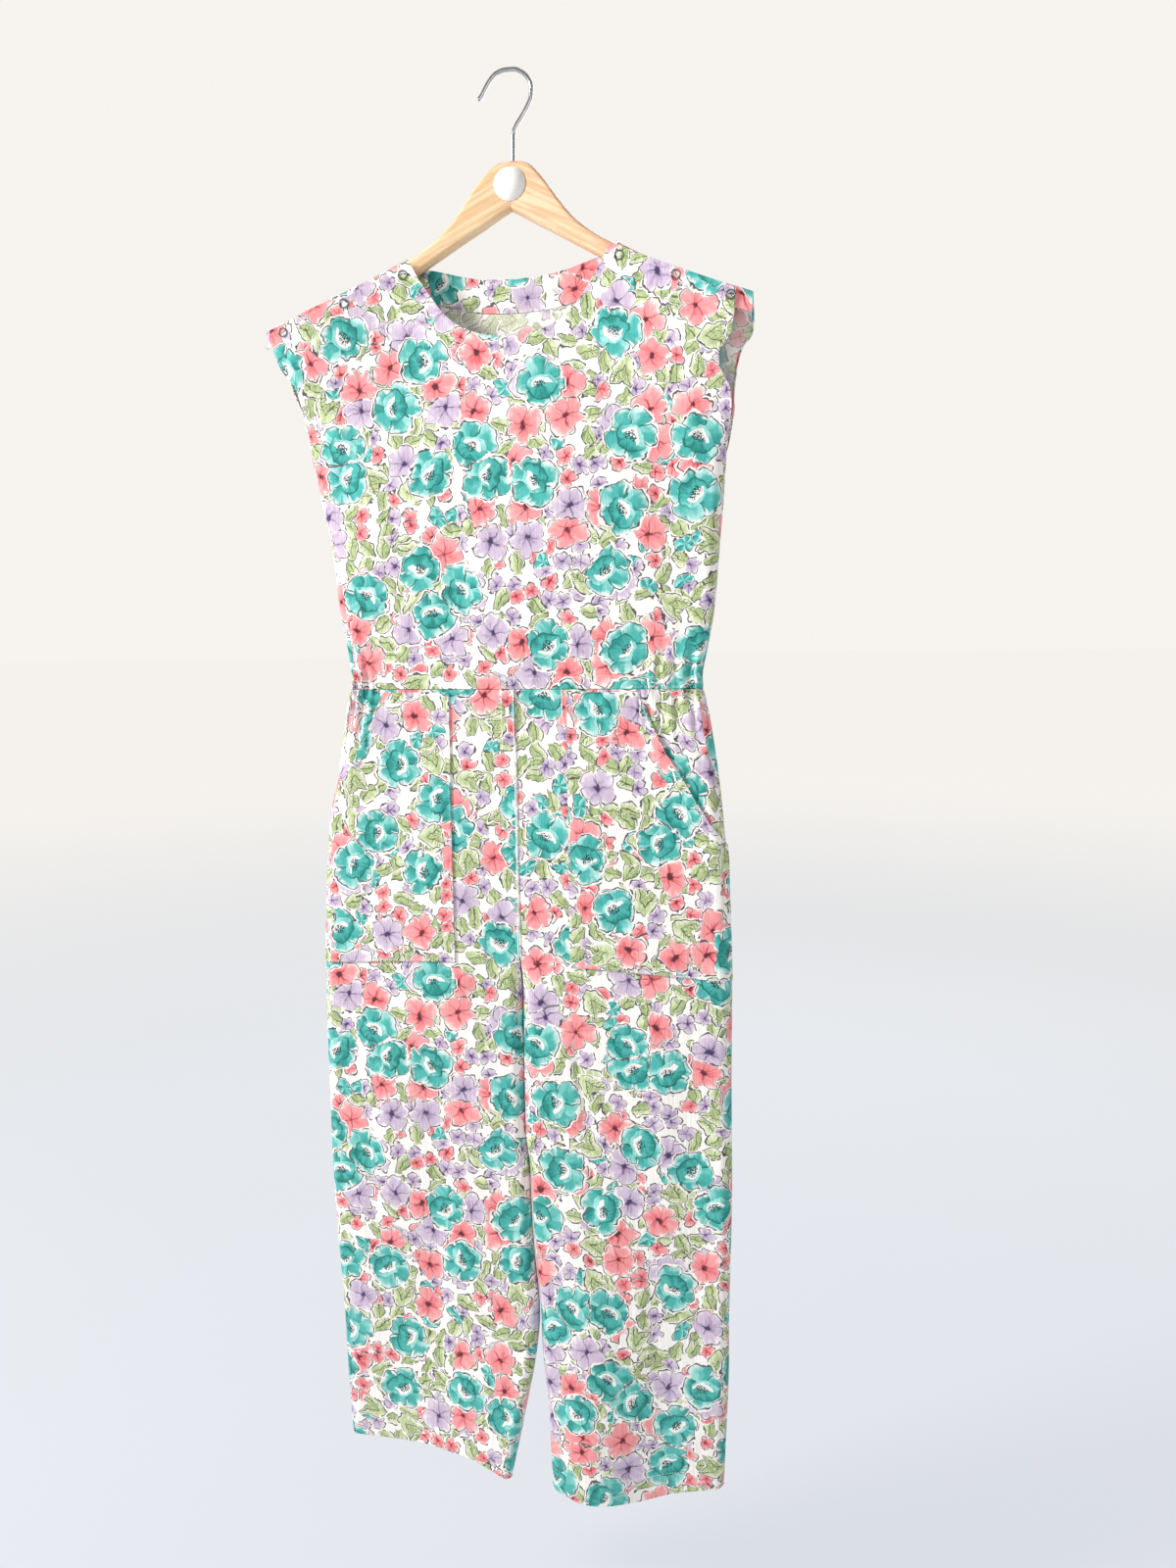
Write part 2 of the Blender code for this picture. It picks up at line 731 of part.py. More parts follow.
def front_leg_columns(side):
    gathers = [s for s in peaks(FRONT_FOLDS[side], FRONT_GATHERS[side] * 2) if s > EDGE_SHARE]
    pleats = []
    for pleat_side, place, _length, _depth in PLEATS:
        if pleat_side == side:
            lap = 0.6 * PLEAT_EDGE
            pleats += [place - lap, place + lap]
    even = [0.38 + 0.56 * k / 7 for k in range(8)]
    return spread(BOTH_EDGES, gathers, pleats, even)


def make_leg(side):
    front, back, outward = leg_faces(side)
    rows = leg_rows(POCKET_ROWS + LOWER_LEG_ROWS)
    cloth("front_leg_" + side, front, front_leg_columns(side), rows, outward)
    columns = spread(BOTH_EDGES, [s for s in peaks(BACK_FOLDS / 2) if EDGE_SHARE < s < 0.93])
    cloth("back_leg_" + side, back, columns, rows, outward)


def make_pocket(side):
    """A patch pocket on the front leg's columns, from its inner edge out to the side seam."""
    front, _, outward = leg_faces(side)
    inner_x, mouth_x, mouth_end = POCKETS[side]

    def share_at(x, z):
        """The front leg's share at this distance from the middle."""
        outer = np.abs(LEG[side + "_outer"](z))
        half = DEPTH["half"](z)
        first = share_of(LEG[side + "_wrap"](z) + SEAM_GAP / 2, outer, half)
        place = share_of(outer - x + half * (math.pi / 2 - 1), outer, half)
        return (place - first) / (1 - first)

    corner = float(share_at(mouth_x, POCKET_TOP_Z))
    edge = float(share_at(inner_x, POCKET_TOP_Z))
    shared = [s for s in front_leg_columns(side) if POCKET_SEAM < s < edge - 0.012]
    shared = [s for s in shared if abs(s - corner) > 0.012]
    columns = sorted([POCKET_SEAM, corner] + shared + [edge])
    rows = [(z - POCKET_BOTTOM_Z) / (POCKET_TOP_Z - POCKET_BOTTOM_Z) for z in POCKET_ROWS[1:-1]]
    rows = [1.0] + rows + [0.0]

    def raised(distance):
        def at(share, height):
            mouth = np.clip((corner - share) / corner, 0, 1)
            top = POCKET_TOP_Z + (mouth_end - POCKET_TOP_Z) * mouth
            bottom = POCKET_BOTTOM_Z - POCKET_SLANT * (edge - share) / edge
            z = bottom + (top - bottom) * height
            moved_in = share_at(inner_x, z) - edge
            place = share + moved_in * ease((share - edge + 0.15) / 0.15)
            down = (z - WAIST_Z) / (HEM_Z - WAIST_Z)
            lift = distance + MOUTH_LIFT * ease(mouth * 3) * ease(height * 3 - 2)
            normal = normal_of(front, place, down)
            return front(place, down) + outward * lift[..., None] * normal

        return at

    wall("pocket_" + side, raised(LAY_GAP), raised(LAY_GAP + POCKET_CLOTH), columns, rows)


def make_snap(name, x, z):
    """An open ring snap that lies on the front's shoulder edge."""
    shares = np.linspace(0.02, 0.98, 800)
    front = bodice("front")
    best = None
    for down in np.linspace(0.0, 0.12, 60):
        points = front(shares, np.full_like(shares, down))
        gaps = np.hypot(points[:, 0] - x, points[:, 2] - z)
        k = int(np.argmin(gaps))
        if best is None or gaps[k] < best[0]:
            best = (gaps[k], shares[k], down)
    share, down = np.array([best[1]]), np.array([best[2]])
    centre = Vector(front(share, down)[0]) * MM
    out = Vector(normal_of(front, share, down)[0])
    bm = bmesh.new()
    low, high = LAY_GAP * MM, (LAY_GAP + SNAP_HEIGHT) * MM
    near, far = (SNAP_RADIUS - SNAP_WIDTH / 2) * MM, (SNAP_RADIUS + SNAP_WIDTH / 2) * MM
    corners = [bm.verts.new((r, 0, h)) for r, h in ((near, low), (far, low), (far, high), (near, high))]
    edges = [bm.edges.new((corners[k], corners[(k + 1) % 4])) for k in range(4)]
    bmesh.ops.spin(
        bm, geom=corners + edges, cent=(0, 0, 0), axis=(0, 0, 1), steps=16, angle=2 * math.pi, use_merge=True
    )
    turn = out.to_track_quat("Z", "Y").to_matrix().to_4x4()
    bmesh.ops.transform(bm, matrix=Matrix.Translation(centre) @ turn, verts=bm.verts)
    finish(name, bm, "snap_metal", 30)


def arm_ring(x, side, shrink):
    """Twelve points round the hanger's arm, a tall oblong with rounded corners."""
    out = abs(x)
    top, bottom = float(WOOD["top"](out)), float(WOOD["bottom"](out))
    middle, half = (top + bottom) / 2, (top - bottom) / 2
    corner = min(ARM_CORNER * shrink, half)
    thick = ARM_HALF * shrink
    points = []
    for k in range(12):
        quarter = (k // 3) * 90
        angle = math.radians(quarter + (k % 3) * 45)
        centre_y = (thick - corner) * (1 if k // 3 in (0, 3) else -1)
        centre_z = (half - corner) * (1 if k // 3 in (0, 1) else -1)
        y = sweep(out) + centre_y + corner * math.cos(angle)
        points.append((side * out * MM, y * MM, (middle + centre_z + corner * math.sin(angle)) * MM))
    return points


def make_hanger_half(name, side):
    """One half of the contoured hanger, drawn out from the joint in its middle."""
    stations = [0.2, 6, 12, 18, 24, 31, 38, 45, 55, 68, 85, 106, 135, 165, 195, 212, 219, 222.5]
    bm = bmesh.new()
    place = bm.verts.layers.int.new("place")
    first = [bm.verts.new(point) for point in arm_ring(stations[0], side, 1)]
    for k, vert in enumerate(first):
        vert[place] = k
    cap = bm.faces.new(first)
    for station in stations[1:]:
        ring = arm_ring(station, side, {219: 0.85, 222.5: 0.45}.get(station, 1))
        made = bmesh.ops.extrude_face_region(bm, geom=[cap], use_keep_orig=True)
        if station != stations[1]:
            bmesh.ops.delete(bm, geom=[cap], context="FACES_ONLY")
        cap = next(item for item in made["geom"] if isinstance(item, bmesh.types.BMFace))
        for vert in cap.verts:
            vert.co = ring[vert[place]]
    finish(name, bm, "beech", 40)


def make_hook():
    """The hook's bent wire, down to the wood."""
    along = [float(k) for k in range(len(HOOK))]
    x_at = curve(along, [point[0] for point in HOOK])
    z_at = curve(along, [point[1] for point in HOOK])
    wire = bpy.data.curves.new("hanger_hook", "CURVE")
    wire.dimensions = "3D"
    wire.bevel_depth = HOOK_WIRE / 2 * MM
    wire.bevel_resolution = 2
    wire.use_fill_caps = True
    line = wire.splines.new("POLY")
    steps = 2 * (len(HOOK) - 1)
    line.points.add(steps)
    for k in range(steps + 1):
        line.points[k].co = (float(x_at(k / 2)) * MM, 0, float(z_at(k / 2)) * MM, 1)
    wire.materials.append(material("bright_wire"))
    bpy.context.scene.collection.objects.link(bpy.data.objects.new("hanger_hook", wire))


def make_label():
    """The blank round label over the hanger's middle joint."""

    def face(distance):
        def at(share, height):
            x = LABEL_RADIUS * np.sin(share * math.pi / 2)
            reach = np.sqrt(LABEL_RADIUS**2 - x * x)
            y = sweep(np.abs(x)) - ARM_HALF - distance
            return np.stack([x, y, LABEL_Z + height * reach], -1)

        return at

    columns = [-0.93 + 1.86 * k / 12 for k in range(13)]
    rows = [-1, -0.4, 0.4, 1]
    wall("hanger_label", face(0.3), face(0.8), columns, rows, finish_name="blank_paper")


def main():
    for existing in list(bpy.data.objects):
        bpy.data.objects.remove(existing, do_unlink=True)
    make_bodice()
    make_facing()
    for side in ("left", "right"):
        make_leg(side)
        make_pocket(side)
        for k, (x, z) in enumerate(SNAPS[side], 1):
            make_snap(f"snap_{side}_{k}", x, z)
    make_hanger_half("hanger_left_half", -1)
    make_hanger_half("hanger_right_half", 1)
    make_hook()
    make_label()


main()
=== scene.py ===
# %% [markdown]
# # A sleeveless romper with cropped legs, on a wooden hanger
#
# The real thing is sewn from one printed cotton: a front and a back bodice, two front legs, two
# back legs and two patch pockets, gathered at the waist by an elastic. It hangs nearly flat.
# The solids of every piece come first, as a fixed frame, and each cell below puts a finished
# piece where its solid is.

# %% The frame
import math

import bmesh
import bpy
import numpy as np
from mathutils import Matrix, Vector


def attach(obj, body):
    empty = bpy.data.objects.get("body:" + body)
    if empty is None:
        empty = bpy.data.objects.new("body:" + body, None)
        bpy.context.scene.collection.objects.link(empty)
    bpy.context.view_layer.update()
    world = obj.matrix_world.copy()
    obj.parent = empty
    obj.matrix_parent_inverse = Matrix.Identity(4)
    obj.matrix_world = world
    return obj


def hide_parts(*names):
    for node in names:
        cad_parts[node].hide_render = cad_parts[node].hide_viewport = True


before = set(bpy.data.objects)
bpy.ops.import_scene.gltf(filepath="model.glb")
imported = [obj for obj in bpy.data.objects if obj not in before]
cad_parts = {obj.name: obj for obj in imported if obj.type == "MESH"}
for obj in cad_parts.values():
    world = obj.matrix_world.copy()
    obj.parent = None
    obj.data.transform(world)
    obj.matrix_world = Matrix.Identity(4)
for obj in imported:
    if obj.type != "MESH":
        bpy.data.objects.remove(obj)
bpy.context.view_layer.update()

# %% [markdown]
# The camera stands to the right of the middle and a little above the waist, and looks slightly
# down. A wide phone lens makes the hem recede. The place, the turn and the lens were found by
# matching known points of the garment, so they are plain numbers here.

# %% The camera
CAMERA_PLACE = (0.33652, -1.2269, -0.55918)
CAMERA_TURN = math.radians(12.195)
CAMERA_TILT = math.radians(7.442)
CAMERA_ROLL = math.radians(-0.746)
CAMERA_LENS = 27.05
CAMERA_SENSOR = 36.0


def placed(name, data):
    """A named object of this data, in the scene."""
    made = bpy.data.objects.new(name, data)
    bpy.context.scene.collection.objects.link(made)
    return made


def make_camera():
    """A camera from its turn to the left, its tilt down and its roll."""
    level = math.cos(CAMERA_TILT)
    ahead = Vector((-math.sin(CAMERA_TURN) * level, math.cos(CAMERA_TURN) * level, -math.sin(CAMERA_TILT)))
    right = Vector((math.cos(CAMERA_TURN), math.sin(CAMERA_TURN), 0))
    up = right.cross(ahead)
    rolled_right = right * math.cos(CAMERA_ROLL) + up * math.sin(CAMERA_ROLL)
    rolled_up = up * math.cos(CAMERA_ROLL) - right * math.sin(CAMERA_ROLL)
    turn = Matrix((rolled_right, rolled_up, -ahead)).transposed()
    data = bpy.data.cameras.new("camera")
    data.lens = CAMERA_LENS
    data.sensor_width = CAMERA_SENSOR
    made = placed("camera", data)
    made.matrix_world = Matrix.Translation(CAMERA_PLACE) @ turn.to_4x4()
    bpy.context.scene.camera = made


make_camera()
print("camera:", CAMERA_PLACE)

# %% [markdown]
# Now the light. A small lamp at the upper left grazes the cloth, so each fold draws a bright and
# a dark side. A weak one fills from the front, and one behind keeps the back readable. The world
# shows the camera an even pale tone but lights the cloth less than that, so the folds keep their
# shade. The colours of fresh cotton are bright, so the plain Standard view is used, which doesn't
# grey them.

# %% Floor, world and lamps
FLOOR_Z = -1.75
FLOOR_RADIUS = 60.0
ROOM_TONE = (0.925, 0.90, 0.865)
ROOM_LIGHT = 0.44

# Lamps: name, place, size, power and tone
LAMPS = (
    ("key_lamp", (-2.4, -1.35, 0.8), 0.7, 128, (1.0, 0.985, 0.965)),
    ("fill_lamp", (1.6, -2.3, -0.2), 1.8, 12, (0.97, 0.985, 1.0)),
    ("back_lamp", (0.5, 2.4, 0.5), 1.8, 42, (1.0, 0.99, 0.97)),
)
GARMENT_MIDDLE = Vector((0, 0, -0.8))


def make_world():
    """A pale tone for the camera, and a dimmer one that lights the scene."""
    world = bpy.data.worlds.new("studio")
    world.use_nodes = True
    tree = world.node_tree
    seen = tree.nodes["Background"]
    seen.inputs["Color"].default_value = (*ROOM_TONE, 1)
    lights = tree.nodes.new("ShaderNodeBackground")
    lights.inputs["Color"].default_value = (*ROOM_TONE, 1)
    lights.inputs["Strength"].default_value = ROOM_LIGHT
    path = tree.nodes.new("ShaderNodeLightPath")
    either = tree.nodes.new("ShaderNodeMixShader")
    tree.links.new(path.outputs["Is Camera Ray"], either.inputs["Fac"])
    tree.links.new(lights.outputs["Background"], either.inputs[1])
    tree.links.new(seen.outputs["Background"], either.inputs[2])
    tree.links.new(either.outputs["Shader"], tree.nodes["World Output"].inputs["Surface"])
    bpy.context.scene.world = world


def make_stage():
    """A pale floor that runs to the horizon, and three soft lamps."""
    bm = bmesh.new()
    bmesh.ops.create_circle(bm, cap_ends=True, radius=FLOOR_RADIUS, segments=96)
    bmesh.ops.translate(bm, vec=(0, 0, FLOOR_Z), verts=bm.verts)
    mesh = bpy.data.meshes.new("floor")
    bm.to_mesh(mesh)
    bm.free()
    floor = placed("floor", mesh)
    for name, place, size, power, tone in LAMPS:
        lamp = bpy.data.lights.new(name, "AREA")
        lamp.size = size
        lamp.energy = power
        lamp.color = tone
        made = placed(name, lamp)
        made.location = place
        made.rotation_euler = (GARMENT_MIDDLE - Vector(place)).to_track_quat("-Z", "Y").to_euler()
    return floor


bpy.context.scene.view_settings.view_transform = "Standard"
make_world()
floor = make_stage()
print("lamps:", [lamp[0] for lamp in LAMPS])

# %% [markdown]
# ## The garment's measures
#
# The tables below hold the garment's cut as it hangs, in millimetres from the inner top of the
# hook: where each edge runs at each height, how deep the tube of cloth is, and how it lies over
# the hanger's arms. They are the same measures that the solids were made from, so a piece that
# is laid on them at a finer step lies where its solid is.

# %% Measures
MM = 0.001
CLOTH = 1.6
SEAM_GAP = 0.08
LAY_GAP = 0.4

# Heights
WAIST_Z = -620.0
HEM_Z = -1504.0
UNDERARM_Z = -397.0
OPEN_ABOVE_Z = -384.0
TIP_Z = -243.0

# Step along a surface's parameters that gives its normals
STEP = 2e-4

# Sign of the outward side of each leg, whose parameters run in from its outer edge
OUTWARD = {"left": 1, "right": -1}

# Depth of the hanging tube of cloth
SIDE_Y = -18.0
HALF_DEPTH = 11.5
EDGE_SHARE = 0.06
FLAT_WIDTH = 400.0

# Bodice sides: z, edges of the front and of the back, and how far the back wraps onto the front
SIDE_COLUMNS = ("z", "front_left", "front_right", "back_left", "back_right", "left_wrap")
SIDES = (
    (-236, -256, 231, -261, 247, 0),
    (-252, -257, 230.5, -260, 249, 0),
    (-263, -254, 229, -256, 249, 0),
    (-275, -250, 227, -251.5, 247, 0),
    (-284, -246, 220, -248.5, 239.5, 0),
    (-292, -240, 214.5, -245.5, 235.5, 0),
    (-303, -232, 215, -242, 232.5, 0),
    (-315, -228, 220, -238, 231, 0),
    (-326, -225.5, 225.5, -234, 229.5, 0),
    (-345, -222.5, 227, -229.5, 228.5, 0),
    (-371, -221, 223, -225, 225, 0),
    (-397, -218, 219.5, -218, 219.5, 0),
    (-430, -212, 217.5, -212, 217.5, 5),
    (-463, -204, 215, -204, 215, 10),
    (-534, -197.5, 210, -197.5, 210, 17),
    (-585, -189, 201, -189, 201, 15),
    (-608, -187, 197, -187, 197, 12),
    (-620, -188.5, 198, -188.5, 198, 12),
)

# Half of each neckline, from its middle: share of the panel's width, x, z
FRONT_NECK = (
    (0.0, 0, -261.5),
    (0.039, 27, -258),
    (0.073, 50, -249.5),
    (0.107, 69, -235),
    (0.138, 82, -218),
    (0.17, 95, -199),
    (0.2, 105, -180.5),
)
BACK_NECK = (
    (0.0, 0, -199),
    (0.06, 32, -197.3),
    (0.11, 56, -193),
    (0.155, 78, -187.5),
    (0.2, 104, -181.7),
)
NECK_SHARE = 0.2
NECK_POINT = 104.0
FACING_DEPTH = 0.083

# Distance of the shoulder tips from the middle, left and right
FRONT_TIPS = (255.0, 231.0)
BACK_TIPS = (260.0, 247.0)

# Shoulder: distance from the middle, top of the back's fold over the hanger, front's upper edge
SHOULDER_COLUMNS = ("out", "fold", "front")
SHOULDER = (
    (104, -172, -180),
    (115, -178.5, -183),
    (130, -187, -190),
    (150, -197, -199),
    (175, -208.5, -210),
    (212, -224, -226),
    (235, -232, -236.5),
    (261, -241, -246),
)
UNDERLAP = 12.0
TURN_SHARE = 0.6

# How the bodice lies over the hanger's arms and hangs free below them
ARM_ROOM = 0.6
BACK_ROOM = 2.4
SOFT_BACK = 60.0
ARMS_CARRY_TO = -250.0
FREE_AFTER = 150.0
FRONT_BELLY = 2.5
BACK_BELLY = 2.0
BELLY_HALF = 210.0
BELLY_FADE = 60.0
ROUND_FROM = -338.0
ARMHOLE_CLOSES_OVER = 12.0

# Soft folds of the front's shoulders: middle x and z, half width, half height, lean, depth forwards
DRAPES = (
    (226, -299, 22, 19, 0.0, -5.0),
    (-191, -259, 26, 6, 0.25, 2.0),
)

# Hanger: distance from the middle, top and bottom of the wood
ARM_COLUMNS = ("out", "top", "bottom")
ARM = (
    (0, -86, -134),
    (10, -86.8, -139.5),
    (20, -91, -145.5),
    (30, -101, -151.5),
    (38, -111, -156),
    (50, -127.5, -163),
    (65, -146, -172),
    (85, -163, -184),
    (106, -176.2, -196),
    (130, -190.2, -209),
    (150, -200.2, -219),
    (175, -211.7, -231),
    (200, -222, -242),
    (214, -229, -248),
    (220, -234, -247),
    (223, -238, -243),
)
ARM_HALF = 6.5
ARM_CORNER = 6.0
SWEEP = 0.10
SWEEP_BOW = 0.00012
ARM_END = 225.0

# Centre line of the hook's wire, from its tip down to the wood
HOOK = (
    (-33, -23.5),
    (-29.5, -19.5),
    (-25.5, -13),
    (-20.5, -6),
    (-13.5, -0.2),
    (-5, 2.0),
    (4, 1.8),
    (12.5, -1.8),
    (19, -8),
    (22.3, -16.5),
    (21.5, -26),
    (17.5, -35),
    (11.5, -44),
    (5.5, -52.5),
    (2.6, -60),
    (2.2, -72),
    (2.0, -85.4),
)
HOOK_WIRE = 4.2

LABEL_RADIUS = 16.5
LABEL_Z = -109.5

# Legs: z, outer edge, inner edge and back's wrap of each leg
LEG_COLUMNS = ("z", "left_outer", "left_inner", "right_inner", "right_outer", "left_wrap", "right_wrap")
LEGS = (
    (-620, -188.5, 0, 0, 198, 12, 10),
    (-640, -193, 0, 0, 202.5, 13, 12.5),
    (-670, -197.8, 0, 0, 207, 14, 13.5),
    (-715, -206, 0, 0, 213.6, 13, 7),
    (-769, -218.5, 0, 0, 220, 8.5, 0.5),
    (-812, -222.5, 0, 0, 224.5, 4, 0),
    (-860, -225.5, 0, 0, 226.5, 0, 0),
    (-948, -229.7, 0, 0, 228.2, 0, 0),
    (-1110, -233, 0, 0, 228, 0, 0),
    (-1140, -233, 3, 3, 228, 0, 0),
    (-1242, -230.5, 8, 8, 227.5, 0, 0),
    (-1322, -227, 14, 15, 226, 0, 0),
    (-1360, -225, 11, 16, 225.5, 0, 0),
    (-1431, -223, -2, 23, 223, 0, 0),
    (-1504, -221, -19, 27, 221, 0, 0),
)

# Depth of the legs: z, mid depth at the outer and inner edges, half depth, front ridge of each leg
DEPTH_COLUMNS = ("z", "outer_y", "left_inner_y", "right_inner_y", "half", "left_ridge", "right_ridge")
DEPTHS = (
    (-620, -18, -18, -18, 11.5, 0, 0),
    (-715, -18, -18, -18, 12.5, 0.5, 0.5),
    (-935, -18, -18, -18, 13.5, 1, 1),
    (-1110, -18, -19, -18, 12.5, 1, 4),
    (-1300, -18, -27, -22, 11.5, 2, 11),
    (-1504, -18, -41, -28, 11, 3, 21),
)
RIDGE_AT = 0.72
RIDGE_WIDTH = 0.27
SWING_POWER = 2.2

# How far the hem hangs below HEM_Z, at each place across from the outer edge
HEM_COLUMNS = ("across", "left", "right")
HEMS = (
    (0.0, -3, 3.5),
    (0.27, -5.5, 14.5),
    (0.5, -7.5, 24),
    (0.68, -5, 25),
    (0.8, -1, 25),
    (0.9, 5.5, 21),
    (1.0, 13, 16),
)
DROOP_FROM = -1300.0
SPLIT_FROM = -900.0
SPLIT_LENGTH = 50.0

# Folds pressed into the fronts of the legs below the waist: place across, length and depth
PLEATS = {
    "left": ((0.444, 34, 2.0), (0.926, 84, 3.0)),
    "right": ((0.525, 80, 2.6), (0.745, 62, 2.4)),
}
PLEAT_EDGE = 0.008
PLEAT_FALL = 0.09
PLEAT_FADE = 0.7

# Gathers of the elastic waist, by the share of the panel's width that they take
GATHER_DEPTH = 2.2
GATHER_UNEVEN = 0.22
GATHER_BEAT = 2.4
GATHER_FADE = 2.5
BACK_FOLDS = 14
GATHER_ABOVE = 46.0
GATHER_BELOW = 62.0
CENTRE_FADE = 12.0
FRONT_GATHERS = {"left": 0.10, "right": 0.17}
FRONT_FOLDS = {"left": 3, "right": 4}

# Patch pockets: distance of the inner edge and of the mouth's upper end from the middle, and the
# height where the slanted mouth ends
POCKETS = {"left": (72.5, 146, -726), "right": (56.5, 131, -788)}
POCKET_TOP_Z = -623.0
POCKET_BOTTOM_Z = -917.0
POCKET_SLANT = 8.0
POCKET_SEAM = 0.012
MOUTH_LIFT = 1.6

# %% [markdown]
# A table gives a few heights only. Between them the edge has to run smoothly and may not swing
# past its points, as a plain cubic would, so each column becomes a curve whose slope is kept
# between those of its neighbours.

# %% Smooth curves through the tables
def curve(places, values):
    """A smooth line through points in order of place, which never overshoots them."""
    order = np.argsort(places)
    xs = np.array(places, float)[order]
    ys = np.array(values, float)[order]
    steps = np.diff(ys) / np.diff(xs)
    before, after = steps[:-1], steps[1:]
    same_way = before * after > 0
    joined = np.where(same_way, before + after, 1.0)
    inner = np.where(same_way, 2 * before * after / joined, 0.0)
    slopes = np.concatenate(([steps[0]], inner, [steps[-1]]))

    def at(x):
        x = np.clip(x, xs[0], xs[-1])
        k = np.clip(np.searchsorted(xs, x, "right") - 1, 0, len(xs) - 2)
        width = xs[k + 1] - xs[k]
        t = (x - xs[k]) / width
        rise = ys[k] * (1 + 2 * t) * (1 - t) ** 2 + ys[k + 1] * t * t * (3 - 2 * t)
        return rise + width * (slopes[k] * t * (1 - t) ** 2 - slopes[k + 1] * t * t * (1 - t))

    return at


def table(columns, rows):
    """One smooth curve for each named column, read by the first column."""
    places = [row[0] for row in rows]
    return {name: curve(places, [row[k] for row in rows]) for k, name in enumerate(columns) if k}


def ease(x):
    """Rises smoothly from 0 to 1."""
    x = np.clip(x, 0, 1)
    return x * x * (3 - 2 * x)


SIDE = table(SIDE_COLUMNS, SIDES)
FOLD = table(SHOULDER_COLUMNS, SHOULDER)
WOOD = table(ARM_COLUMNS, ARM)
LEG = table(LEG_COLUMNS, LEGS)
DEPTH = table(DEPTH_COLUMNS, DEPTHS)
HEM = table(HEM_COLUMNS, HEMS)


# %% [markdown]
# ## The hanging tube
#
# A garment on a hanger is a tube pressed nearly flat: two wide faces, joined by a tight round
# edge at each side. A place on it is a share across the face and a share down. The functions
# below turn the two shares into a point. The first ones give the flattened tube's edge.

# %% The flattened tube
def sweep(out):
    """How far forward the hanger's arms reach, at this distance from the middle."""
    out = np.minimum(out, ARM_END)
    return -(SWEEP * out + SWEEP_BOW * out * out)


def soft_floor(out, least):
    """A distance that never falls below least, with a soft corner."""
    return (np.abs(out) ** 6 + least**6) ** (1 / 6)


def across(share, width, radius):
    """Distance from the first edge, and roundness at both edges, at a share of a flattened tube."""
    first = np.clip(share / EDGE_SHARE, 0, 1) * math.pi / 2
    last = np.clip((1 - share) / EDGE_SHARE, 0, 1) * math.pi / 2
    middle = np.clip((share - EDGE_SHARE) / (1 - 2 * EDGE_SHARE), 0, 1)
    distance = radius * (1 - np.cos(first)) + (width - 2 * radius) * middle
    distance = distance + radius * np.cos(last)
    return distance, np.sin(first), np.sin(last)


def share_of(arc, width, radius):
    """The share of a flattened tube's face at this arc length from its edge, less than 0 behind it."""
    bend = radius * math.pi / 2
    length = np.abs(arc)
    round_part = EDGE_SHARE * np.minimum(length / bend, 1)
    flat_part = (1 - 2 * EDGE_SHARE) * np.maximum(length - bend, 0) / (width - 2 * radius)
    return np.sign(arc) * (round_part + flat_part)


def gather(share, folds, z, zone=None, first=True):
    """Depth of the elastic's folds, strongest at the waist, over the panel or a zone at one end."""
    place = share if first else 1 - share
    strength = np.ones_like(share)
    if zone:
        place = place / zone
        strength = ease((1 - place) * GATHER_FADE)
    above = np.exp(-(((z - WAIST_Z) / GATHER_ABOVE) ** 2))
    below = np.exp(-(((WAIST_Z - z) / GATHER_BELOW) ** 2))
    reach = np.where(z > WAIST_Z, above, below)
    uneven = 1 - GATHER_UNEVEN + GATHER_UNEVEN * np.sin(place * folds * GATHER_BEAT)
    return GATHER_DEPTH * strength * reach * uneven * np.sin(2 * math.pi * folds * place)
